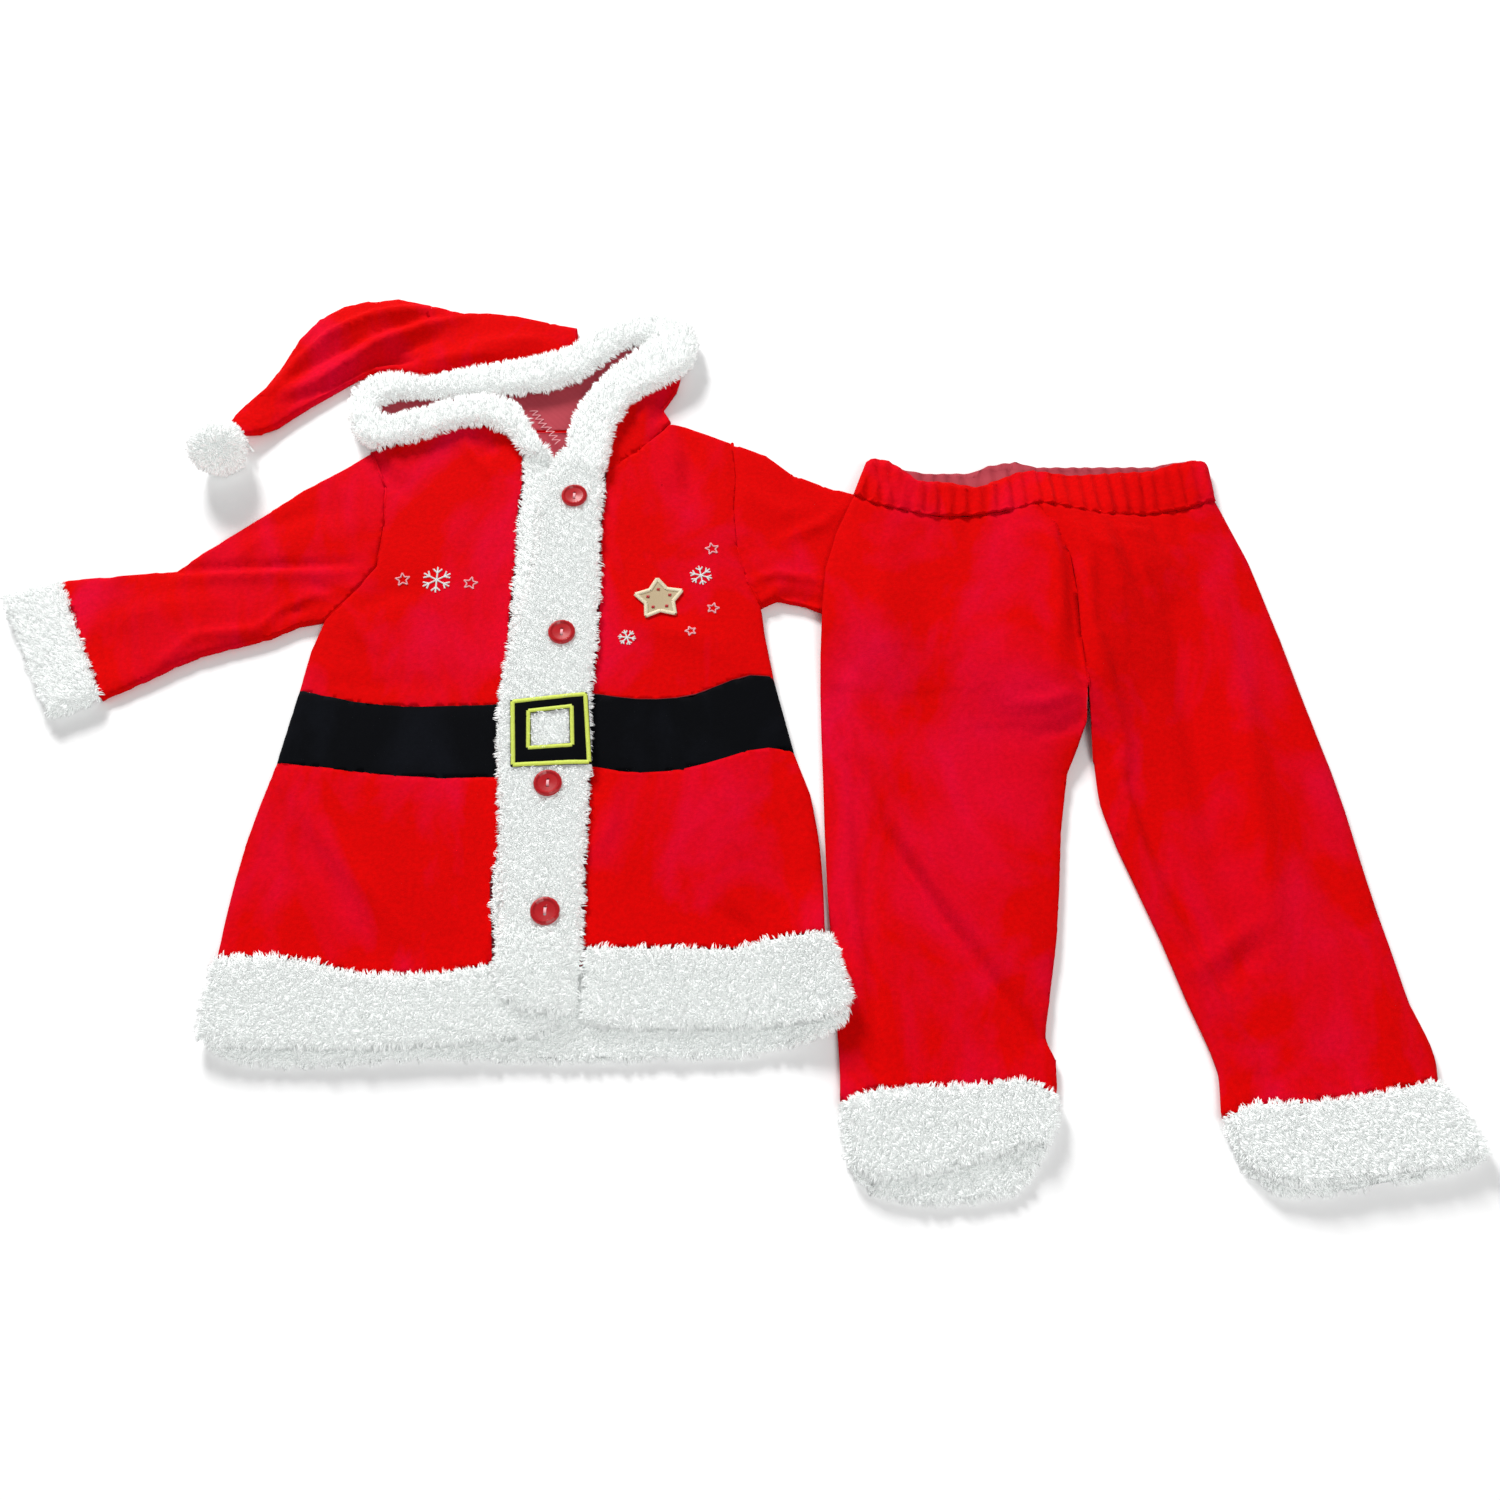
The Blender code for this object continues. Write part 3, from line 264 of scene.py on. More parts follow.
# %% Threads and plastic
def thread(name, light, dark):
    material, shader = new_material(name, Roughness=0.42, Specular_IOR_Level=0.4, Sheen_Weight=0.1)
    place = add_node(material, "ShaderNodeTexCoord").outputs["Object"]
    ply = add_node(material, "ShaderNodeTexNoise", {"Vector": place, "Scale": 1 / 0.0005, "Detail": 2.0})
    tone = add_node(material, "ShaderNodeMix", {0: ply.outputs[0], 6: linear(dark), 7: linear(light)}, data_type="RGBA")
    material.node_tree.links.new(tone.outputs[2], shader.inputs["Base Color"])
    return material


LIME_THREAD = thread("lime_embroidery_thread", "#F4FF86", "#C2D22E")
WHITE_THREAD = thread("white_embroidery_thread", "#FFFFFF", "#D9D9D6")
PINK_THREAD = thread("pink_embroidery_thread", "#FFD2D6", "#F0A0A8")
BEIGE_FELT = thread("beige_felt", "#C2AD88", "#A08C68")
CREAM_THREAD = thread("cream_embroidery_thread", "#FFF6DE", "#D8C8A2")
RED_THREAD = thread("red_sewing_thread", "#D8323C", "#A80E1C")

BUTTON_PLASTIC, shader = new_material("red_polyester_resin", Roughness=0.3, IOR=1.45)
place = add_node(BUTTON_PLASTIC, "ShaderNodeTexCoord").outputs["Object"]
cloud = add_node(BUTTON_PLASTIC, "ShaderNodeTexNoise", {"Vector": place, "Scale": 1 / 0.004, "Detail": 2.0})
tone = add_node(
    BUTTON_PLASTIC, "ShaderNodeMix", {0: cloud.outputs[0], 6: linear("#9A0810"), 7: linear("#C4121E")}, data_type="RGBA"
)
BUTTON_PLASTIC.node_tree.links.new(tone.outputs[2], shader.inputs["Base Color"])
print(len(bpy.data.materials), "materials so far")

# %% [markdown]
# ## Cloth panels
# A velour panel of the CAD model is a thin closed wall with few faces. Each one is dressed in the same steps:
# merge its loose triangles, tell its sides apart by angle, cut it along a fine grid, round its outline, ease the flat
# parts, press in creases from a table, and sink it where a seam pulls the cloth down.
# Cloth simulation would move the panels off their seams. Creases placed from a table stay where the real ones are.


# %% Merge, refine and sort the faces of a wall
def merged_copy(node):
    shape = bmesh.new()
    shape.from_mesh(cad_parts[node].data)
    bmesh.ops.remove_doubles(shape, verts=shape.verts, dist=0.00002)
    bmesh.ops.dissolve_limit(shape, angle_limit=math.radians(0.02), verts=shape.verts, edges=shape.edges)
    shape.normal_update()
    return shape


def refine(shape, step, chosen=None):
    """Cuts a wall, or only the faces with chosen material indices, along a square grid this many millimetres wide."""
    for axis in (0, 1):
        low = min(vert.co[axis] for vert in shape.verts)
        high = max(vert.co[axis] for vert in shape.verts)
        across = Vector((1 - axis, axis, 0))
        count = int((high - low) / (step * MM)) + 1
        for i in range(1, count):
            faces = [face for face in shape.faces if chosen is None or face.material_index in chosen]
            verts = list({vert for face in faces for vert in face.verts})
            edges = list({edge for face in faces for edge in face.edges})
            place = across * (low + (high - low) * i / count)
            bmesh.ops.bisect_plane(shape, geom=verts + edges + faces, dist=1e-6, plane_co=place, plane_no=across)
    bmesh.ops.triangulate(shape, faces=[face for face in shape.faces if len(face.verts) > 4])
    bmesh.ops.dissolve_degenerate(shape, dist=0.00005, edges=shape.edges)
    bmesh.ops.triangulate(shape, faces=[face for face in shape.faces if len(face.verts) > 4])


def sort_faces(shape, sharp):
    """The faces of a wall in groups that no sharp edge crosses, the largest first: outside, inside and rims."""
    limit = math.radians(sharp)
    left, groups = set(shape.faces), []
    while left:
        group, reached = set(), [left.pop()]
        while reached:
            face = reached.pop()
            group.add(face)
            for edge in face.edges:
                if edge.calc_face_angle(0.0) < limit:
                    for other in edge.link_faces:
                        if other in left:
                            left.discard(other)
                            reached.append(other)
        groups.append(group)
    return sorted(groups, key=lambda group: -sum(face.calc_area() for face in group))


# %% [markdown]
# ### Round the outline
# The CAD model runs straight from row to row, so its outline has slight corners. Cloth has none.
# Plain smoothing would shrink the piece. Taubin's method moves each point towards its neighbours and then a little
# further back, which rounds the corners and keeps the size. The rim's points only look along the rim, so a seam
# stays a seam.

# %% Round the outline
STRAIGHT = -0.75  # a rim that turns more sharply than this cosine is a real corner and stays
DRAG = 15.0  # how far into the cloth the rounding is felt, in millimetres


def free_points(places, starts, ends):
    """Which points of a rim may move: those with two neighbours and no corner between them."""
    free = np.zeros((len(places), 1), bool)
    for i, place in enumerate(places):
        others = ends[starts == i]
        if len(others) == 2:
            one, two = places[others[0], :2] - place[:2], places[others[1], :2] - place[:2]
            size = np.linalg.norm(one) * np.linalg.norm(two)
            free[i] = size > 0 and one @ two / size < STRAIGHT
    return free


def round_outline(shape, rim_edges, passes=110, ahead=0.5, back=-0.515):
    """Rounds the rim in XY, and takes the cloth near it along."""
    rim = list({vert for edge in rim_edges for vert in edge.verts})
    number = {vert: i for i, vert in enumerate(rim)}
    if len(rim) < 3:
        return
    places = np.array([vert.co for vert in rim])
    pairs = np.array([
        (number[edge.verts[k]], number[edge.verts[1 - k]], 1 / max(edge.calc_length(), 0.0002))
        for edge in rim_edges
        for k in (0, 1)
    ])
    starts, ends, weights = pairs[:, 0].astype(int), pairs[:, 1].astype(int), pairs[:, 2]
    totals = np.bincount(starts, weights, len(rim))[:, None]
    free = free_points(places, starts, ends)
    moved = places[:, :2].copy()
    for _ in range(passes):
        for share in (ahead, back):
            middle = [np.bincount(starts, weights * moved[ends, k], len(rim)) for k in (0, 1)]
            moved += np.where(free, share * (np.stack(middle, axis=1) / totals - moved), 0)
    shift = moved - places[:, :2]
    tree = tree_of([vert.co for vert in rim])
    moves = []
    for vert in shape.verts:
        if vert in number:
            moves.append((vert, shift[number[vert]]))
        else:
            _, i, away = tree.find(vert.co)
            moves.append((vert, shift[i] * max(1 - away / (DRAG * MM), 0)))
    for vert, (dx, dy) in moves:
        vert.co.x += dx
        vert.co.y += dy


# %% [markdown]
# ### Creases
# Velour laid on a floor keeps long shallow creases. Each row of a table is one: its width and height in
# millimetres, a trough below zero, and the points of its line.
# They are uneven on purpose, as the real ones are, and a seam's two panels read the same table, so a crease runs on
# across it.

# %% Crease tables
CREASES = {
    "jacket": (
        (5, -1.1, ((-10, 169), (-3, 155), (-1, 130), (3, 118))),
        (5, 0.9, ((-18, 166), (-12, 150), (-9, 132))),
        (5, 0.9, ((-209, -63), (-189, -90), (-165, -119), (-138, -149))),
        (6, -0.7, ((-198, -95), (-174, -126), (-152, -156))),
        (3, -1.0, ((18, -135), (31, -147), (34, -155))),
        (4, 0.8, ((26, -128), (38, -142), (42, -154))),
        (4, 0.8, ((-38, -66), (-38, -88), (-45, -102))),
        (3, 1.0, ((-138, 169), (-134, 157), (-119, 137))),
        (4, -0.8, ((-116, 166), (-122, 151))),
        (4, -0.9, ((-189, 151), (-178, 135), (-165, 122))),
        (4, 0.8, ((-181, 156), (-168, 138))),
        (5, 0.8, ((-191, 47), (-181, 28), (-170, 18))),
        (7, -0.6, ((-186, 42), (-172, 52), (-150, 58))),
        (8, 0.6, ((-30, 34), (0, 26), (24, 12))),
        (7, -0.5, ((-214, -2), (-170, -6), (-130, -4))),
        (9, 0.6, ((10, -66), (20, -100), (24, -132))),
        (8, -0.6, ((44, -62), (50, -96), (52, -130))),
        (8, 0.5, ((-120, -74), (-122, -110), (-118, -140))),
        (9, -0.4, ((-212, -78), (-216, -120), (-212, -150))),
    ),
    "sleeves": (
        (2.0, -1.5, ((-289, 70), (-259, 71), (-226, 73), (-191, 74))),
        (5, 1.2, ((-284, 64), (-259, 66), (-226, 67), (-196, 69))),
        (4, 1.0, ((52, 90), (76, 102), (85, 113))),
        (3, 1.3, ((33, 62), (48, 67), (74, 62))),
        (3.4, -1.2, ((48, 54), (74, 48))),
        (2.4, 1.0, ((44, 51), (51, 59))),
        (3.4, 1.1, ((-287, 9), (-271, 26), (-238, 30), (-225, 43), (-211, 52), (-185, 58))),
        (7, -1.1, ((-320, 54), (-315, 31), (-306, 8))),
        (2.4, -1.1, ((-231, 35), (-222, 43), (-213, 45))),
        (3, -0.8, ((-215, 62), (-203, 56), (-190, 54))),
        (8, 0.6, ((-332, 30), (-300, 44), (-262, 50))),
        (7, 0.7, ((36, 122), (52, 110), (70, 112))),
        (6, -0.6, ((-262, 92), (-232, 104), (-206, 112))),
        (5, 0.6, ((-210, 134), (-196, 120), (-190, 100))),
    ),
    "trousers": (
        (2.6, -1.9, ((80, -9), (88, -48), (101, -90), (125, -132), (150, -170), (171, -202))),
        (6, 1.9, ((88, -6), (96, -46), (109, -86), (132, -127), (157, -164), (176, -194))),
        (3.5, -0.7, ((86, -51), (90, -108), (93, -162), (95, -217))),
        (4.5, 0.8, ((81, -60), (84, -120), (86, -200))),
        (7, 1.5, ((292, 49), (298, -3), (297, -45), (296, -89), (296, -121), (292, -155))),
        (7, -1.4, ((267, 42), (267, -15), (271, -96), (275, -120))),
        (4, 1.5, (
            (222, 20), (228, -24), (231, -40), (227, -62), (233, -106), (240, -131), (253, -168), (269, -200), (273, -215)
        )),
        (4, -1.3, ((232, -64), (242, -104), (250, -131), (262, -164), (276, -196))),
        (5, 1.1, ((253, -167), (268, -156), (285, -143))),
        (5, -0.8, ((262, -176), (276, -164), (292, -152))),
        (3.4, -1.5, ((197, 107), (213, 75), (211, 22), (210, -12))),
        (4, 1.2, ((204, 95), (204, 48), (198, -2))),
        (4, 1.4, ((216, 97), (222, 72), (219, 30), (222, -4))),
        (3, 0.9, ((231, 97), (236, 74), (240, 54))),
        (3, -1.0, ((240, 98), (247, 70), (251, 44))),
        (2.6, 0.8, ((221, 93), (228, 82), (238, 78))),
        (4, -0.7, ((162, -14), (168, -26), (172, -40))),
        (3, -0.9, ((212, -26), (200, -34), (184, -38))),
        (4, 0.9, ((208, -14), (192, -20), (172, -20))),
        (8, 0.8, ((110, 84), (106, 40), (112, -4))),
        (9, -0.7, ((128, 90), (132, 50), (128, 12))),
        (8, 0.7, ((322, 40), (332, -30), (338, -90))),
        (9, -0.6, ((318, -60), (326, -130), (338, -196))),
        (9, 0.8, ((318, -150), (336, -180), (346, -210))),
        (7, 0.7, ((150, -90), (166, -124), (178, -160))),
        (3, -0.6, ((140, 101), (143, 88))),
        (3, -0.6, ((158, 103), (156, 86))),
        (3, -0.6, ((176, 106), (177, 90))),
        (3, -0.6, ((262, 104), (266, 88))),
        (3, -0.6, ((278, 108), (280, 92))),
    ),
    "hood": (
        (3.6, 1.7, ((-253, 200), (-242, 222), (-224, 243), (-199, 259), (-173, 265), (-150, 262))),
        (4.2, 2.2, ((-245, 196), (-226, 207), (-209, 221), (-189, 237), (-168, 249), (-142, 258))),
        (3.6, -1.8, ((-245, 208), (-219, 230), (-190, 250), (-165, 259))),
        (4.4, -1.6, ((-241, 192), (-221, 203), (-203, 217), (-184, 230), (-160, 240))),
        (2.6, -2.4, ((-193, 224), (-182, 225), (-172, 224))),
        (6, 0.9, ((-150, 226), (-124, 236), (-98, 240))),
        (4, -1.2, ((-23, 176), (-20, 183), (-16, 198))),
        (3.4, 1.0, ((-30, 173), (-29, 186), (-27, 197))),
        (4, 0.9, ((-170, 222), (-140, 224), (-112, 230))),
    ),
}


DEPTH = 1.9  # all creases are this much deeper than their rows say
NARROWEST = 3.2  # a crease in velour isn't narrower, in millimetres


def crease_height(x, y, table):
    """The height of all creases at a point, each fading off round its line and towards its ends."""
    height = 0.0
    for width, rise, line in table:
        nearest, where, run = 1e9, 0.0, 0.0
        for (x0, y0), (x1, y1) in zip(line, line[1:]):
            dx, dy = x1 - x0, y1 - y0
            length = math.hypot(dx, dy)
            share = min(max(((x - x0) * dx + (y - y0) * dy) / length**2, 0.0), 1.0)
            away = math.hypot(x - x0 - share * dx, y - y0 - share * dy)
            if away < nearest:
                nearest, where = away, run + share * length
            run += length
        if nearest < 2.4 * width:
            fade = 0.45 + 0.55 * math.sin(math.pi * where / run)
            height += DEPTH * rise * math.exp(-((nearest / max(width, NARROWEST)) ** 2)) * fade
    return height


def waviness(x, y):
    """The slight rise and fall that any laid cloth has, in broad and in small waves."""
    broad = noise.noise(Vector((x / 48, y / 60, 3.1)))
    small = noise.noise(Vector((x / 17, y / 21, 8.7)))
    return 0.8 * broad + 0.35 * small


def gather_height(x, y):
    """Gathers that an elastic pulls into a band, uneven across it and almost straight along it."""
    phase = x / 1.35 + 2.2 * noise.noise(Vector((x / 14, 0.5, y / 60)))
    share = 0.55 + 0.6 * noise.noise(Vector((x / 9, y / 30, 6.4)))
    return share * math.sin(phase) * min(max((302 - x) / 40, 0.15), 1.0)


# %% [markdown]
# ### The sides of a wall
# The outside is the largest group of faces and the inside the next. What is left is the cut edge.
# Only the outside needs a fine grid, so the hidden side gets a coarse one. Where the cloth above it is pressed
# down, the hidden side has to give way, or it would show through.

# %% Sides, seams and the hidden side
COARSE = 7.0  # the grid of the hidden side, in millimetres
SEAM_SINK = 0.55  # how deep the stitching pulls a seam in
SEAM_REACH = 1.8  # and how wide that groove is
PUCKER = 0.7  # height of the little gathers beside a seam
PUCKER_REACH = 14  # beyond this distance a seam isn't felt
TUCK = 0.7  # the least depth of the hidden side under the cloth
SAMPLES = ((0, 0), (4, 0), (-4, 0), (0, 4), (0, -4), (3, 3), (-3, 3), (3, -3), (-3, -3))  # where that depth is taken
SLIVER = 0.32  # points nearer than this share of the grid are merged, because slivers would crease when eased
UPRIGHT = 0.55  # cloth less level than this takes no creases
CORD_DEPTH = 0.75  # a seam's cord lies this far under it
CORD_FLOOR = 2.2  # a seam lower than this is on the floor and needs no cord
TAPE = []  # the runs of seam that get a cord of folded cloth beneath them


def mark_sides(shape, sharp):
    """Gives each face of a wall a material index: 0 outside, 1 inside, 2 cut edge."""
    groups = sort_faces(shape, sharp)
    for i, group in enumerate(groups):
        kind = min(i, 2)
        if i > 1:  # a cut edge touches both sides, and a steep strip of the cloth itself only one
            around = {other for face in group for edge in face.edges for other in edge.link_faces}
            touched = {side for side in (0, 1) if around & groups[side]}
            kind = 2 if len(touched) != 1 else touched.pop()
        for face in group:
            face.material_index = kind


def flatness(shape, rims, edge_verts):
    """How level the cloth lies at each point, from 0 to 1. A point of the rim takes it from the cloth beside it."""
    level = {vert: abs(vert.normal.z) for vert in shape.verts}
    for vert in edge_verts:
        level[vert] = max((abs(face.normal.z) for face in vert.link_faces if face not in rims), default=0.0)
    return level


def seam_height(x, y, away, sink, reach):
    """The puckers and the groove beside a seam, this many millimetres away from it."""
    gather = noise.noise(Vector((x / 2.6, y / 2.6, 5.5)))
    return PUCKER * gather * math.exp(-away / 4) * min(away / 2, 1) - sink * math.exp(-((away / reach) ** 2))


def tuck_inside(shape, outside, hidden):
    """Keeps the hidden side beneath the cloth above it."""
    shape.verts.index_update()
    points = [vert.co for vert in shape.verts]
    cover = BVHTree.FromPolygons(points, [[vert.index for vert in face.verts] for face in outside])
    for vert in hidden:
        if vert.normal.z < 0:
            for dx, dy in SAMPLES:
                above = cover.ray_cast(vert.co + Vector((dx * MM, dy * MM, 1.0)), Vector((0, 0, -1)))[0]
                if above is not None:
                    vert.co.z = max(min(vert.co.z, above.z - TUCK * MM), 0.0)


def finish_piece(name, shape, materials, sharp=60.0):
    """Turns the bmesh into an object at the origin."""
    mesh = bpy.data.meshes.new(name)
    shape.to_mesh(mesh)
    shape.free()
    mesh.shade_smooth()
    mesh.set_sharp_from_angle(angle=math.radians(sharp))
    for material in materials:
        mesh.materials.append(material)
    piece = bpy.data.objects.new(name, mesh)
    bpy.context.scene.collection.objects.link(piece)
    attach(piece, "root")
    return piece


# %% [markdown]
# ### One function dresses a panel
# It takes the steps in their order. Creases, waves and gathers all add up to one rise for each point, which fades
# out where the cloth stands upright at a fold.
# Last, the cut edge of the outside moves out by half a millimetre or more, so the two sides of a seam meet.


# %% Dress a panel
def dress_panel(
    node, creases, materials, step=3.2, sharp=50.0, ease=8, wave=1.0, smooth_outline=True,
    gathers=0.0, steep=0.72, close=0.5, sink=SEAM_SINK, reach=SEAM_REACH, taped=False, near=(),
):
    """A finished panel. Steep limits what is eased, close is the push of the cut edge, near holds seams to sink at."""
    shape = merged_copy(node)
    mark_sides(shape, sharp)
    refine(shape, step, (0, 2))
    inland = [vert for vert in shape.verts if all(face.material_index == 0 for face in vert.link_faces)]
    bmesh.ops.remove_doubles(shape, verts=inland, dist=SLIVER * step * MM)
    refine(shape, max(step, COARSE), (1,))
    outside, inside, rims = ({face for face in shape.faces if face.material_index == i} for i in range(3))
    if smooth_outline:
        sides = {edge: {face.material_index for face in edge.link_faces} for edge in shape.edges}
        round_outline(shape, {edge for edge in shape.edges if sides[edge] in ({0, 2}, {1, 2})})
        shape.normal_update()
    for face in rims:
        face.material_index = 0
    outer, inner, edge_verts = ({vert for face in side for vert in face.verts} for side in (outside, inside, rims))
    pushes = {}
    for vert in edge_verts & outer:
        push = sum((face.normal for face in vert.link_faces if face in rims), Vector())
        if push.length > 0:
            pushes[vert] = push.normalized() * close * MM

    level = flatness(shape, rims, edge_verts)
    easy = [vert for vert in shape.verts if vert not in edge_verts and level[vert] > steep]
    for _ in range(ease):
        bmesh.ops.smooth_vert(shape, verts=easy, factor=0.5, use_axis_x=False, use_axis_y=False, use_axis_z=True)
    seam_points = [vert.co for vert in edge_verts & outer if level[vert] > 0.8]
    seam_points += [spot(*place) for run in near for place in run]
    tree = tree_of(seam_points)
    lifts = {}
    for vert in outer | inner:
        x, y = off_spot(vert.co)
        flat = min(max((level[vert] - UPRIGHT) / 0.4, 0.0), 1.0)
        rise = crease_height(x, y, creases) + wave * waviness(x, y) + gathers * gather_height(x, y)
        if vert in outer and vert.normal.z <= 0 and vert not in edge_verts:
            rise = 0.0  # the underside stays flat on the floor
        elif vert in outer and seam_points:
            away = tree.find(vert.co)[2] / MM
            if away < PUCKER_REACH:
                rise += seam_height(x, y, away, sink, reach)
        lifts[vert] = rise * flat * MM
    for vert, rise in lifts.items():
        vert.co.z = max(vert.co.z + rise, 0.0)
    tuck_inside(shape, outside, inner - edge_verts)
    for vert, push in pushes.items():
        vert.co += push
        vert.co.z = max(vert.co.z, 0.0)
    if taped:
        for edge in shape.edges:
            if all(vert in pushes and level[vert] > 0.6 and vert.co.z > CORD_FLOOR * MM for vert in edge.verts):
                TAPE.append([[*off_spot(vert.co), vert.co.z / MM - CORD_DEPTH] for vert in edge.verts])
    piece = finish_piece(node + "_cloth", shape, materials)
    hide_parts(node)
    return piece


# %% [markdown]
# ### Every velour piece
# Each row names a panel, the crease table it reads, its cloth on both sides, and the grid in millimetres. The backs lie
# face down and never show, so they keep a coarse grid and no creases. Velour fronts need the finest one, because the
# light grazes every fold of them, and black cloth hides more.
# Sleeves and hood sides get deeper seams, and they and the trouser fronts a cord behind them. The trousers' broad
# curves are eased for longer.

# %% Dress every velour piece
RED = (RED_VELOUR, VELOUR_REVERSE)
BLACK = (BLACK_VELOUR, BLACK_VELOUR)
PANELS = (
    ("bodice_front_right", "jacket", RED, 2.7),
    ("bodice_front_left", "jacket", RED, 2.7),
    ("belt_front_right", "jacket", BLACK, 3.4),
    ("belt_front_left", "jacket", BLACK, 3.4),
    ("skirt_front_right", "jacket", RED, 2.7),
    ("skirt_front_left", "jacket", RED, 2.7),
    ("bodice_back", "jacket", RED, 8.0),
    ("belt_back", "jacket", BLACK, 8.0),
    ("skirt_back", "jacket", RED, 8.0),
    ("sleeve_right", "sleeves", RED, 2.7),
    ("sleeve_left", "sleeves", RED, 2.7),
    ("trouser_front_right", "trousers", RED, 2.7),
    ("trouser_front_left", "trousers", RED, 2.7),
    ("trouser_back_right", "trousers", RED, 8.0),
    ("trouser_back_left", "trousers", RED, 8.0),
    ("hood_side_right", "hood", RED, 3.0),
    ("hood_side_left", "hood", RED, 3.0),
    ("hood_back", "hood", RED, 3.0),
    ("hood_tail", "hood", RED, 3.0),
)
dressed = {}
for node, table, materials, step in PANELS:
    creases = CREASES[table] if step < 6 else ()
    shape_of = {"wave": 1.0 if step < 6 else 0.0}
    if node.startswith("trouser_front"):
        # at 50 degrees the two sides of the left one would count as one
        shape_of.update(ease=70, steep=0.25, close=0.8, taped=True, sharp=42.0)
    elif node.startswith(("sleeve", "hood_side")):
        shape_of.update(close=1.3, sink=1.0, reach=2.4, taped=True)
    dressed[node] = dress_panel(node, creases, materials, step, **shape_of)
    print(node, len(dressed[node].data.polygons), "faces")

# %% [markdown]
# ### Waistband
# The waistband is a velour casing gathered by the elastic inside it. The CAD model has its gathers as one even wave.
# Real gathers differ in width and depth, so this piece adds an uneven wave that runs across the band.

# %% Waistband
dressed["waistband"] = dress_panel(
    "waistband", (), RED, 2.0, sharp=70.0, ease=0, wave=0.4, smooth_outline=False,
    gathers=1.2, close=1.2, sink=1.9, reach=3.2, near=TAPE,
)
print(len(TAPE), "short runs of seam to back with a cord")

# %% [markdown]
# ## Sherpa bands
# A sherpa band is a backing with a curly pile. The backing is the CAD solid drawn in by the pile's depth, as a
# smooth closed shell.
# The pile is thousands of three-sided locks that curve over and lean into small clumps, because that clumping is
# what tells sherpa from plain fur.
# The locks are copies of one small cone. They are placed in arrays, because thousands of separate bmesh calls would
# take minutes.

# %% The backing
PILE = 1.2  # how far the backing lies inside the CAD solid, in millimetres
BACKING_GRID = 4.2  # its grid, in millimetres
NECK = {  # where two bands meet at the neck: a place, how far round it and how far along Y the fleece is drawn together
    "hood_trim": ((-85, 158, 22, -9), (-62, 150, 22, -9)),
    "placket_top": ((-75, 150, 26, 7),),
}


def make_backing(node):
    """The closed inner shell of a sherpa band."""
    shape = merged_copy(node)
    refine(shape, BACKING_GRID)
    for x, y, reach, shift in NECK.get(node, ()):
        for vert in shape.verts:
            away = (vert.co - spot(x, y, vert.co.z / MM)).length / MM
            vert.co.y += shift * MM * max(1 - (away / reach) ** 2, 0)
    bmesh.ops.smooth_vert(shape, verts=shape.verts, factor=0.5, use_axis_x=True, use_axis_y=True, use_axis_z=True)
    shape.normal_update()
    moved = [(vert, vert.co - vert.normal * PILE * MM) for vert in shape.verts]
    for vert, place in moved:
        vert.co = place
        if vert.normal.z < -0.7:  # what lies on the floor stays there
            vert.co.z -= PILE * MM
        vert.co.z = max(vert.co.z, 0.0)
    piece = finish_piece(node + "_backing", shape, (SHERPA_BACKING,), 180.0)
    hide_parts(node)
    return piece


# %% [markdown]
# ### What can be seen
# Locks are only grown where they can be seen from above or from a side. A ray goes from each root in a few
# directions, and a root with no free way out gets no lock.

# %% Rays from a root
whole = bmesh.new()
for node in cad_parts.values():
    whole.from_mesh(node.data)
SOLIDS = BVHTree.FromBMesh(whole)
print(len(whole.faces), "faces stand in the rays' way")
whole.free()
WAYS_OUT = [
    Vector(way).normalized()
    for way in ((0, -0.5, 0.9), (0, 0, 1), (-1, 0, 0.5), (1, 0, 0.5), (0, 1, 0.5), (0, -1, 0.25))
]


def in_view(place, normal, skin):
    """Whether light gets to a root. The ray starts above the fleece, skin millimetres off the backing."""
    start = place + normal * skin * MM
    return any(way.dot(normal) > -0.2 and SOLIDS.ray_cast(start, way)[0] is None for way in WAYS_OUT)


# %% [markdown]
# ### Two kinds of lock
# A curled lock is a three-sided cone with a cut at half its height, where it is bellied and can bend. A straight lock
# has no cut, so it takes half the triangles, and many of them fill the gaps between the curls.

# %% Two kinds of lock
def points_and_faces(shape):
    """A small shape as arrays, ready to be copied many times."""
    shape.verts.index_update()
    points = np.array([vert.co for vert in shape.verts])
    faces = [[vert.index for vert in face.verts] for face in shape.faces]
    shape.free()
    print(len(points), "points and", len(faces), "faces to copy")
    return points, faces


def make_lock(cuts, waist):
    """One upright lock, a unit high, with some cuts along its sides and a waist or belly at them."""
    lock = bmesh.new()
    bmesh.ops.create_cone(lock, cap_ends=True, segments=3, radius1=1.0, radius2=0.0, depth=1.0)
    bmesh.ops.remove_doubles(lock, verts=lock.verts, dist=0.0001)
    if cuts:
        sides = [edge for edge in lock.edges if abs(edge.verts[0].co.z - edge.verts[1].co.z) > 0.5]
        bmesh.ops.subdivide_edges(lock, edges=sides, cuts=cuts)
    bmesh.ops.translate(lock, verts=lock.verts, vec=(0, 0, 0.5))
    middle = [vert for vert in lock.verts if 0.1 < vert.co.z < 0.9]
    bmesh.ops.scale(lock, verts=middle, vec=(waist, waist, 1.0))
    return points_and_faces(lock)


CURLED_LOCK = make_lock(1, 1.6)
STRAIGHT_LOCK = make_lock(0, 1.0)


# %% [markdown]
# ### Growing a pile
# Roots are spread over the backing by area. Each lock starts along the surface normal, leans with the band's flow,
# and bends towards the middle of its clump. Each band has a seed of its own, so its fleece is the same in every
# run.

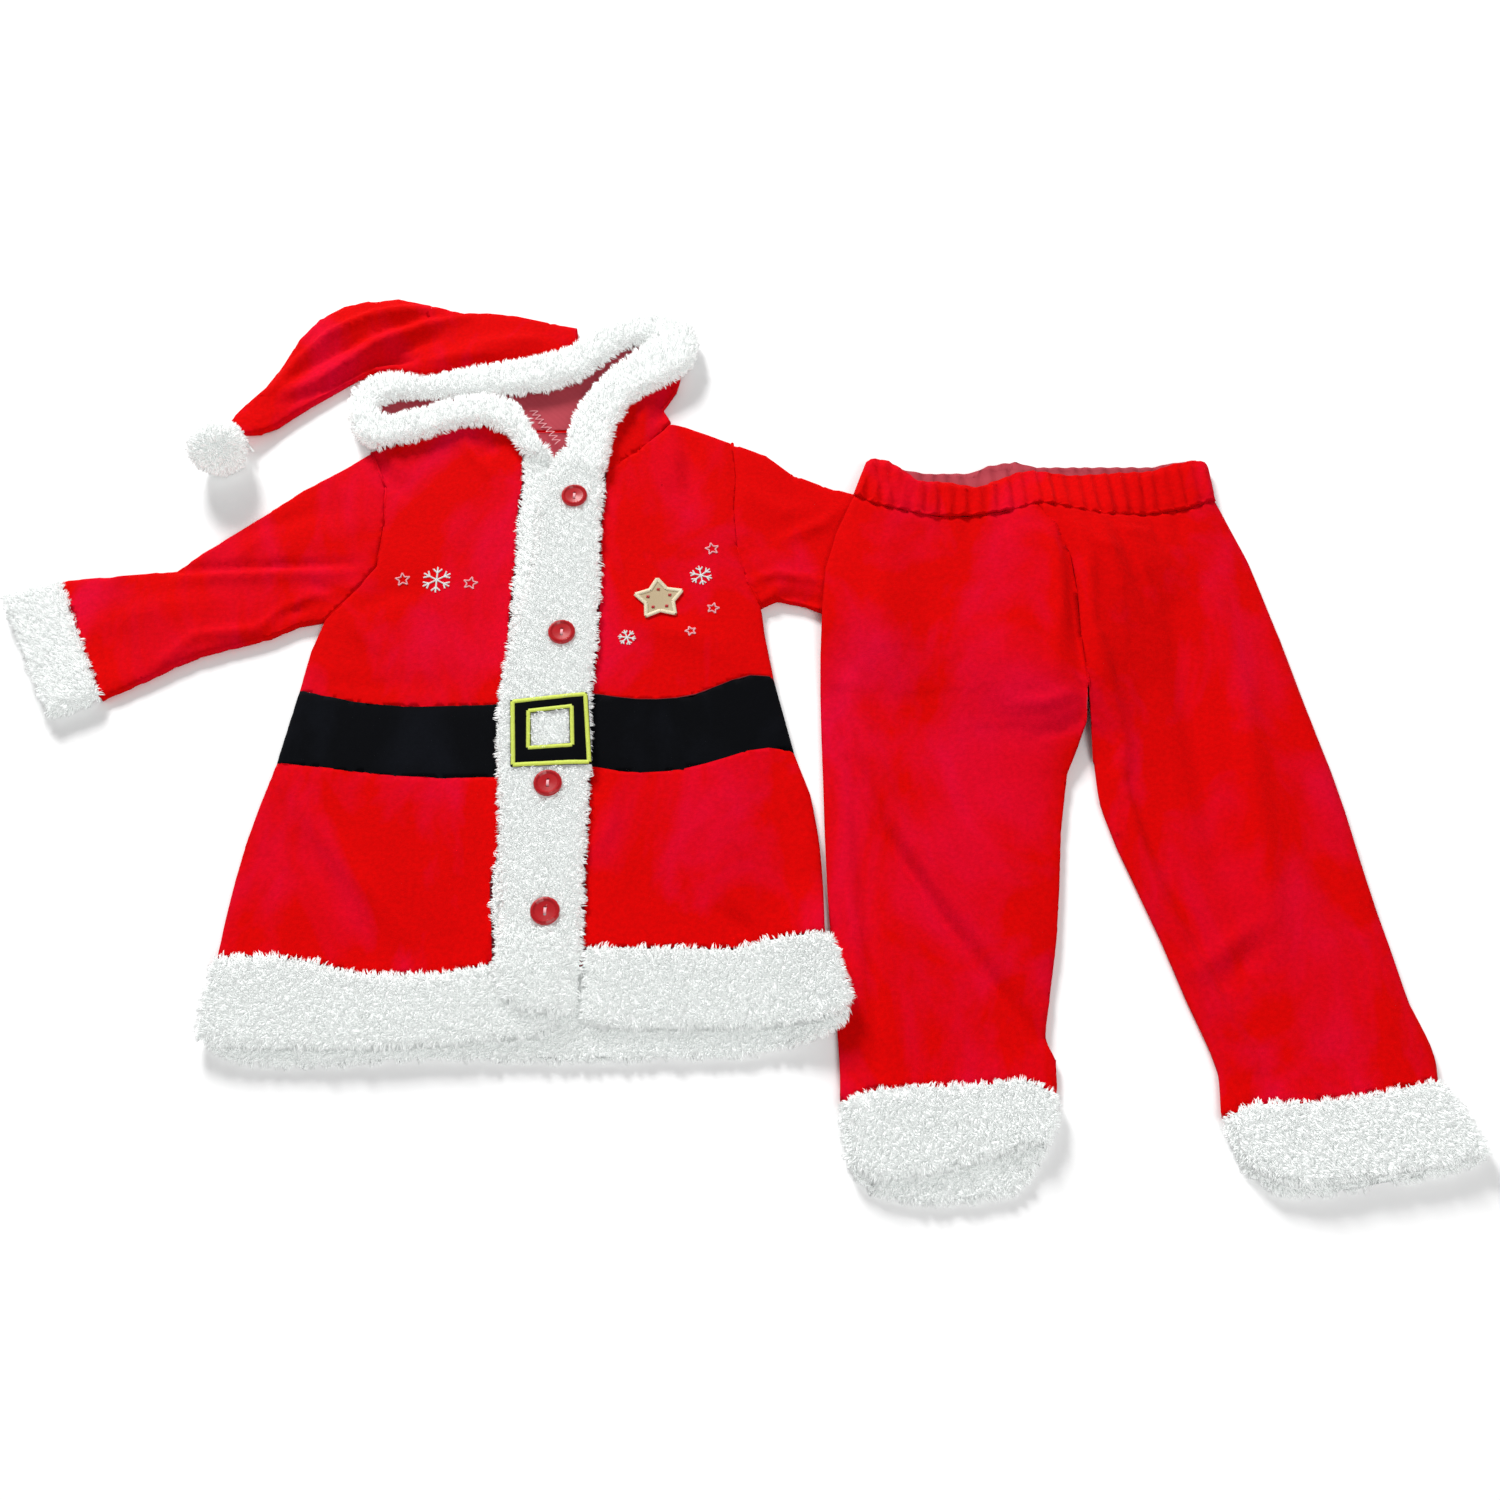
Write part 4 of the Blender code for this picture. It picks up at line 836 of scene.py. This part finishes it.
# %% Grow a pile
def spread_roots(backing, spacing, dice, skin):
    """Roots over a backing by area, with the surface normal at each."""
    mesh = backing.data
    mesh.calc_loop_triangles()
    points = np.array([vert.co for vert in mesh.vertices])
    normals = np.array([vert.normal for vert in mesh.vertices])
    triangles = np.array([triangle.vertices for triangle in mesh.loop_triangles])
    corners = points[triangles]
    areas = np.linalg.norm(np.cross(corners[:, 1] - corners[:, 0], corners[:, 2] - corners[:, 0]), axis=1) / 2
    count = int(areas.sum() / (spacing * MM) ** 2)
    chosen = np.searchsorted(np.cumsum(areas) / areas.sum(), (np.arange(count) + dice.random(count)) / count)
    chosen = np.minimum(chosen, len(triangles) - 1)
    u, v = dice.random((2, count))
    over = u + v > 1
    u[over], v[over] = 1 - u[over], 1 - v[over]
    share = np.stack([1 - u - v, u, v], axis=1)[:, :, None]
    roots = (corners[chosen] * share).sum(axis=1)
    up = (normals[triangles[chosen]] * share).sum(axis=1)
    up /= np.linalg.norm(up, axis=1)[:, None] + 1e-9
    open_side = (up[:, 2] > -0.45) | (roots[:, 2] > 0.004)  # none grow beneath, on the floor
    keep = [i for i in np.flatnonzero(open_side) if in_view(Vector(roots[i]), Vector(up[i]), skin)]
    return roots[keep], up[keep]


CLUMP = 8  # locks that lean together


def place_locks(lock, roots, up, flow, lean, length, radius, dice):
    """The points of every lock, leaning with the flow and towards the middle of its clump."""
    count = len(roots)
    towards = np.array(flow, float) + dice.normal(0, 0.6, (count, 3))  # no two locks lean quite alike
    towards -= (towards * up).sum(axis=1)[:, None] * up
    heading = up + lean * towards
    heading /= np.linalg.norm(heading, axis=1)[:, None]
    reach = length * MM * dice.uniform(0.7, 1.2, count)[:, None]  # nor are they equally long
    tips = roots + heading * reach
    middles = dice.choice(count, max(count // CLUMP, 1), replace=False)
    tree = tree_of(roots[middles])
    nearest = middles[[tree.find(root)[1] for root in roots]]
    pull = dice.uniform(0.3, 0.75, count)[:, None]  # how far a lock joins its clump
    tips += (tips[nearest] + up[nearest] * 0.4 * MM - tips) * pull
    tips[:, 2] = np.maximum(tips[:, 2], 0.0006)
    across = np.cross(up, towards)
    across /= np.linalg.norm(across, axis=1)[:, None] + 1e-9
    other = np.cross(up, across)
    wide = radius * MM * dice.uniform(0.75, 1.25, count)[:, None]
    rise = lock[:, 2]
    placed = (
        roots[:, None] - up[:, None] * 0.3 * MM  # rooted a little way into the backing
        + across[:, None] * (lock[:, 0] * wide)[:, :, None]
        + other[:, None] * (lock[:, 1] * wide)[:, :, None]
        + up[:, None] * (rise * (1 - rise) * reach)[:, :, None] * 0.9  # each lock arches up and over
        + (tips - roots)[:, None] * rise[None, :, None]
    )
    placed[:, :, 2] = np.maximum(placed[:, :, 2], 0.0003)  # no lock dips into the floor
    return placed


def copies_to_object(name, parts, material):
    """One object from arrays of copies. A part is its faces, its points (copies x points x 3) and a value for each."""
    points, loops, totals, tints, base = [], [], [], [], 0
    for faces, placed, tint in parts:
        count, size = placed.shape[:2]
        corners = np.concatenate([np.array(face) for face in faces])
        points.append(placed.reshape(-1, 3))
        loops.append((corners[None] + base + size * np.arange(count)[:, None]).reshape(-1))
        totals.append(np.tile([len(face) for face in faces], count))
        tints.append(tint.reshape(-1))
        base += count * size
    points, loops, totals, tints = (np.concatenate(part) for part in (points, loops, totals, tints))
    mesh = bpy.data.meshes.new(name)
    mesh.vertices.add(len(points))
    mesh.vertices.foreach_set("co", points.reshape(-1).astype(np.float32))
    mesh.loops.add(len(loops))
    mesh.loops.foreach_set("vertex_index", loops.astype(np.int32))
    mesh.polygons.add(len(totals))
    mesh.polygons.foreach_set("loop_start", (np.cumsum(totals) - totals).astype(np.int32))
    mesh.update(calc_edges=True)
    mesh.shade_smooth()
    shade = mesh.attributes.new("root_to_tip", "FLOAT", "POINT")
    shade.data.foreach_set("value", tints.astype(np.float32))
    mesh.materials.append(material)
    piece = bpy.data.objects.new(name, mesh)
    bpy.context.scene.collection.objects.link(piece)
    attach(piece, "root")
    print(name, int((totals - 2).sum()), "triangles")
    return piece


def grow_pile(backing, spacing=1.1, length=4.2, radius=0.38, flow=(0, -1, 0), lean=0.6, seed=1, skin=2.6):
    """A pile of curled locks with straight ones between them, as one mesh."""
    dice = np.random.default_rng(seed)
    parts = []
    for (lock, faces), gap, long, wide in (
        (CURLED_LOCK, spacing * 1.25, length, radius),
        (STRAIGHT_LOCK, spacing * 0.82, length * 0.85, radius * 0.9),
    ):
        roots, up = spread_roots(backing, gap, dice, skin)
        placed = place_locks(lock, roots, up, flow, lean, long, wide, dice)
        tint = np.clip(lock[:, 2][None, :] * 0.9 + dice.uniform(-0.12, 0.12, (len(roots), 1)) + 0.1, 0, 1)
        parts.append((faces, placed, tint))
    piece = copies_to_object(backing.name.replace("_backing", "_pile"), parts, SHERPA)
    return piece


# %% [markdown]
# ### Every band with its own flow
# Each row names a band, the way in which its pile was stroked, and its seed. Hems and leg cuffs fall towards their
# edge, the sleeve cuffs outwards.

# %% Dress every sherpa band
BANDS = (
    ("hem_front_right", (-0.2, -1, 0), 11),
    ("hem_front_left", (0.2, -1, 0), 12),
    ("hem_back", (0, -1, 0), 13),
    ("placket_under", (-1, -0.3, 0), 14),
    ("placket_top", (-0.2, -0.8, 0), 15),
    ("hood_trim", (0.2, 0.4, 0), 16),
    ("sleeve_cuff_right", (-0.9, -0.4, 0), 17),
    ("sleeve_cuff_left", (0.9, -0.3, 0), 18),
    ("leg_cuff_right", (0, -1, 0), 19),
    ("leg_cuff_left", (0.2, -1, 0), 20),
)
for node, flow, seed in BANDS:
    dressed[node] = make_backing(node)
    grow_pile(dressed[node], flow=flow, seed=seed)

# %% [markdown]
# ## Pompom
# The pompom is a stuffed ball of the same sherpa. A sphere with a few dents from the noise is its core, and its
# locks stand straight out.

# %% Pompom
shape = bmesh.new()
bmesh.ops.create_icosphere(shape, subdivisions=4, radius=13.4 * MM)
for vert in shape.verts:
    lump = noise.noise(vert.co * 90)
    vert.co *= 1 + 0.07 * lump
    vert.co.z *= 0.97
bmesh.ops.translate(shape, verts=shape.verts, vec=spot(-275.0, 148.5, 17.0))
pompom = finish_piece("pompom_backing", shape, (SHERPA_BACKING,), 180.0)
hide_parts("pompom")
grow_pile(pompom, spacing=0.85, length=4.6, flow=(0.1, -0.2, 0.1), lean=0.35, seed=21, skin=6.5)

# %% [markdown]
# ## Buttons
# The moulded buttons of the CAD model have the right shape, with a raised rim, a dished middle and two holes, so
# they stay and only get their resin.

# %% Buttons
BUTTONS = ((-67, 116), (-69, 24), (-71, -68), (-68, -139))
MOULDED = [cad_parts[f"button_{i + 1}"] for i in range(len(BUTTONS))]
for node in MOULDED:
    for slot in node.material_slots:
        slot.material = BUTTON_PLASTIC
print(len(MOULDED), "buttons in", BUTTON_PLASTIC.name)

# %% [markdown]
# ## Buckle
# The buckle is a square of black velour sewn on the placket, with its window cut out. Its edges are covered by
# satin stitch, which is many short threads laid side by side across the edge.

# %% Buckle
dressed["buckle"] = dress_panel("buckle", (), BLACK, 3.0, ease=0, wave=0.0, smooth_outline=False)
print("buckle", len(dressed["buckle"].data.polygons), "faces")

# %% [markdown]
# ## Sewing
# A stitch is one short thread that rises out of the cloth and dips back in. Satin stitch lays them side by side
# until the cloth is covered, so that one edge or line takes hundreds.
# All stitches are copies of one small tube, bent over between their two ends.

# %% One stitch, and many
def make_stitch():
    """One straight thread, a unit long, with two cuts so that it can bend."""
    tube = bmesh.new()
    bmesh.ops.create_cone(tube, cap_ends=True, segments=4, radius1=1.0, radius2=1.0, depth=1.0)
    long_edges = [edge for edge in tube.edges if abs(edge.verts[0].co.z - edge.verts[1].co.z) > 0.5]
    bmesh.ops.subdivide_edges(tube, edges=long_edges, cuts=2)
    bmesh.ops.translate(tube, verts=tube.verts, vec=(0, 0, 0.5))
    return points_and_faces(tube)


STITCH, STITCH_FACES = make_stitch()


def lay_threads(name, ends, radius, arch, material):
    """Stitches between pairs of points, given in millimetres of the tables."""
    ends = np.array(ends, float)
    ends[:, :, 0] += MIDDLE[0]
    ends[:, :, 1] += MIDDLE[1]
    ends *= MM
    run = ends[:, 1] - ends[:, 0]
    side = np.cross(run, (0, 0, 1.0))
    side /= np.linalg.norm(side, axis=1)[:, None] + 1e-9
    top = np.cross(side, run)
    top /= np.linalg.norm(top, axis=1)[:, None] + 1e-9
    along = STITCH[:, 2]
    bend = 4 * along * (1 - along)
    placed = (
        ends[:, :1] + run[:, None] * along[None, :, None]
        + side[:, None] * (STITCH[:, 0] * radius * MM)[None, :, None]
        + top[:, None] * (STITCH[:, 1] * radius * MM + bend * arch * MM)[None, :, None]
    )
    return copies_to_object(name, [(STITCH_FACES, placed, np.repeat(along[None], len(ends), axis=0))], material)


def surface(names):
    """A tree of the dressed pieces, to find how high the cloth lies at a point."""
    points, faces = [], []
    for name in names:
        mesh = dressed[name].data
        faces += [[index + len(points) for index in face.vertices] for face in mesh.polygons]
        points += [vert.co.copy() for vert in mesh.vertices]
    return BVHTree.FromPolygons(points, faces)


def height_at(tree, x, y, missing=6.0):
    """How high the cloth lies there, in millimetres, or a stand-in where there is none."""
    hit = tree.ray_cast(spot(x, y, 300), Vector((0, 0, -1)))[0]
    return missing if hit is None else hit.z / MM


def satin(tree, line, width, gap=0.42, closed=False, lift=0.1):
    """Satin stitches across a line, side by side."""
    made = []
    points = list(line) + ([line[0]] if closed else [])
    for (x0, y0), (x1, y1) in zip(points, points[1:]):
        length = math.hypot(x1 - x0, y1 - y0)
        across = Vector((y0 - y1, x1 - x0, 0)) / length * width / 2
        slant = Vector((x1 - x0, y1 - y0, 0)) / length * 0.3 * gap
        count = max(int(length / gap), 1)
        for i in range(count):
            share = (i + 0.5) / count
            x, y = x0 + (x1 - x0) * share, y0 + (y1 - y0) * share
            middle = Vector((x, y, height_at(tree, x, y) + lift))
            made.append((middle - across - slant, middle + across + slant))
    return made


# %% [markdown]
# ### Seam allowance
# Behind each seam the two panels are folded together. That folded cloth fills the groove of the seam, here as a red
# cord 2 mm thick just beneath it.
# The panels have noted their own runs of seam while they were dressed. The armholes are listed one by one, because
# their two panels lie at different heights.

# %% Seam cords
CORD_HEIGHT = 4.9  # of the armholes' cords, in millimetres
ARMHOLES = (
    ((-189, 154), (-178, 128), (-176, 100), (-177, 72), (-190, 52), (-202, 37)),
    ((23, 161), (25, 135), (24, 111), (26, 86), (31, 67), (40, 46)),
)
for line in ARMHOLES:
    TAPE += [((*start, CORD_HEIGHT), (*end, CORD_HEIGHT)) for start, end in zip(line, line[1:])]
lay_threads("seam_allowance", TAPE, 1.0, 0.0, RED_VELOUR)

# %% [markdown]
# ### The buckle's borders
# Lime satin stitch covers the buckle's outer edge and its window's edge. Both lines run a millimetre inside the
# cloth, so the stitches wrap over its edge.

# %% Satin stitch round the buckle
BUCKLE_OUTER = ((-93.6, -18.6), (-53.4, -13.6), (-49.4, -56), (-90.6, -58.2))
BUCKLE_INNER = ((-83, -26), (-62, -23), (-60.4, -44.6), (-81.6, -46.4))


def inset(corners, amount):
    """The corners of a square moved towards its middle, in millimetres."""
    middle = sum(x for x, y in corners) / 4, sum(y for x, y in corners) / 4
    return [
        (x - amount * math.copysign(1, x - middle[0]), y - amount * math.copysign(1, y - middle[1]))
        for x, y in corners
    ]


on_buckle = surface(["buckle"])
border = satin(on_buckle, inset(BUCKLE_OUTER, 0.9), 2.3, closed=True)
border += satin(on_buckle, inset(BUCKLE_INNER, -0.9), 2.1, closed=True)
lay_threads("buckle_satin_stitch", border, 0.27, 0.35, LIME_THREAD)

# %% [markdown]
# ### Button threads
# Each button is held by thread through its two holes, which shows as a short pale bar in the dish.

# %% Button threads
bars = []
for (x, y), node in zip(BUTTONS, MOULDED):
    mesh = node.data
    tree = BVHTree.FromPolygons([vert.co for vert in mesh.vertices], [face.vertices[:] for face in mesh.polygons])
    z = max(height_at(tree, x, y + k, 0.0) for k in (-0.6, 0, 0.6))
    bars += [((x + k, y - 1.7, z - 0.2), (x + k, y + 1.7, z - 0.2)) for k in (-0.45, 0.0, 0.45)]
lay_threads("button_threads", bars, 0.3, 0.45, PINK_THREAD)

# %% [markdown]
# ## Embroidery
# The chest carries small machine embroidery in two designs of our own: a snowflake between two stars, and a felt
# star among small stars and snowflakes.
# A line of embroidery is a narrow band of satin stitch about 1 mm wide. A star is its ten corners, and a snowflake
# six arms with a V on each.

# %% Stars and snowflakes
def polar(x, y, reach, angle):
    """A point this far from a middle, in the direction of an angle."""
    return (x + reach * math.cos(angle), y + reach * math.sin(angle))


def star(x, y, size, turn=0.0, waist=0.45):
    """The ten corners of a star."""
    return [polar(x, y, size * (waist if i % 2 else 1), math.radians(90 + turn + 36 * i)) for i in range(10)]


def snowflake(x, y, size, turn=0.0):
    """Six arms, each with a V on it."""
    lines = []
    for i in range(6):
        angle = math.radians(30 + turn + 60 * i)
        lines.append([(x, y), polar(x, y, size, angle)])
        lines.append([polar(x, y, size * out, angle + swing) for out, swing in ((0.9, 0.33), (0.55, 0), (0.9, -0.33))])
    return lines


CHEST = surface(["bodice_front_right", "bodice_front_left"])
white_lines = [(line, False, 0.95) for line in snowflake(-142, 63, 8.5)]
white_lines += [(line, False, 0.85) for line in snowflake(6, 66, 6.5, 12)]
white_lines += [(line, False, 0.85) for line in snowflake(-34, 25, 5.0, 20)]
STARS = ((-161, 63, 4.2, 8), (-123, 61, 4.2, -10), (12, 84, 4.0, 12), (13, 44, 3.6, -14), (1, 28, 3.2, 20))
pink_lines = [(star(*place), True, 0.8) for place in STARS]
for name, lines, material in (
    ("chest_embroidery_white", white_lines, WHITE_THREAD),
    ("chest_embroidery_pink", pink_lines, PINK_THREAD),
):
    stitches = [stitch for line, closed, width in lines for stitch in satin(CHEST, line, width, closed=closed)]
    lay_threads(name, stitches, 0.24, 0.3, material)

# %% [markdown]
# ### A felt star
# The star is cut from beige felt about a millimetre thick and laid on the cloth, so it follows the chest. Satin
# stitch in cream holds its edge, and five small red stitches its points.

# %% Felt star
FELT_MIDDLE, FELT_SIZE, FELT_TURN, FELT_WAIST = (-17, 50), 14.5, 6, 0.58
FELT_THICK = 1.1
felt = bmesh.new()
outline = star(*FELT_MIDDLE, FELT_SIZE, FELT_TURN, FELT_WAIST)
face = felt.faces.new([felt.verts.new(spot(x, y)) for x, y in outline])
bmesh.ops.triangulate(felt, faces=[face])
refine(felt, 3.0)
raised = bmesh.ops.extrude_face_region(felt, geom=felt.faces[:])["geom"]
upper = {part for part in raised if isinstance(part, bmesh.types.BMVert)}
bmesh.ops.recalc_face_normals(felt, faces=felt.faces)
for vert in felt.verts:
    vert.co.z = (height_at(CHEST, *off_spot(vert.co)) - 0.2 + (FELT_THICK if vert in upper else 0.0)) * MM
dressed["felt_star"] = finish_piece("felt_star", felt, (BEIGE_FELT,))
on_felt = surface(["felt_star"])
edge = satin(on_felt, star(*FELT_MIDDLE, FELT_SIZE - 0.9, FELT_TURN, FELT_WAIST), 2.2, closed=True)
lay_threads("felt_star_satin_edge", edge, 0.27, 0.35, CREAM_THREAD)
ring = [polar(*FELT_MIDDLE, 6.4, math.radians(90 + FELT_TURN + 72 * i)) for i in range(5)]
dots = [stitch for x, y in ring for stitch in satin(on_felt, [(x - 0.8, y), (x + 0.8, y)], 1.6, gap=0.36)]
lay_threads("felt_star_dots", dots, 0.24, 0.4, RED_THREAD)

# %% [markdown]
# ### Thread inside the hood and on its tail
# An overlock machine covers the raw seam inside the hood with a zigzag of pale thread. The pompom hangs from a few
# turns of white thread at the tail's tip.

# %% Overlock and pompom thread
HOOD = surface(["hood_back", "hood_side_left", "hood_side_right", "hood_tail"])
SEAM_START, SEAM_END = (-96.8, 188.6), (-79.5, 160.0)
COUNT = 9  # teeth of the zigzag
step_x, step_y = ((end - start) / COUNT for start, end in zip(SEAM_START, SEAM_END))
teeth = []
for i in range(COUNT + 1):  # a tooth starts left of the seam and comes back from the right of it
    teeth.append((SEAM_START[0] + step_x * i - 2.0, SEAM_START[1] + step_y * i - 0.9))
    teeth.append((SEAM_START[0] + step_x * (i + 0.55) + 2.0, SEAM_START[1] + step_y * (i + 0.55) + 0.9))
teeth = [(x, y, height_at(HOOD, x, y) + 0.3) for x, y in teeth[:-1]]
zigzag = list(zip(teeth, teeth[1:]))
lay_threads("hood_overlock", zigzag, 0.24, 0.3, PINK_THREAD)
turns = satin(HOOD, [(-268, 166.5), (-258, 153.5)], 1.6, gap=0.5)
lay_threads("pompom_thread", turns, 0.3, 0.5, WHITE_THREAD)

# %% [markdown]
# ## Floor
# A plain pale floor carries the layout. It is part of the stage and not of the suit.

# %% Floor
shape = bmesh.new()
bmesh.ops.create_grid(shape, x_segments=1, y_segments=1, size=6.0)
mesh = bpy.data.meshes.new("floor")
shape.to_mesh(mesh)
shape.free()
FLOOR_PAINT, _ = new_material("white_matt_paint", Roughness=0.9, Base_Color=linear("#FFFFFF"), Specular_IOR_Level=0.1)
mesh.materials.append(FLOOR_PAINT)
floor = bpy.data.objects.new("floor", mesh)
floor.location.z = -0.0002
bpy.context.scene.collection.objects.link(floor)
print("floor", round(floor.dimensions.x), "m wide")
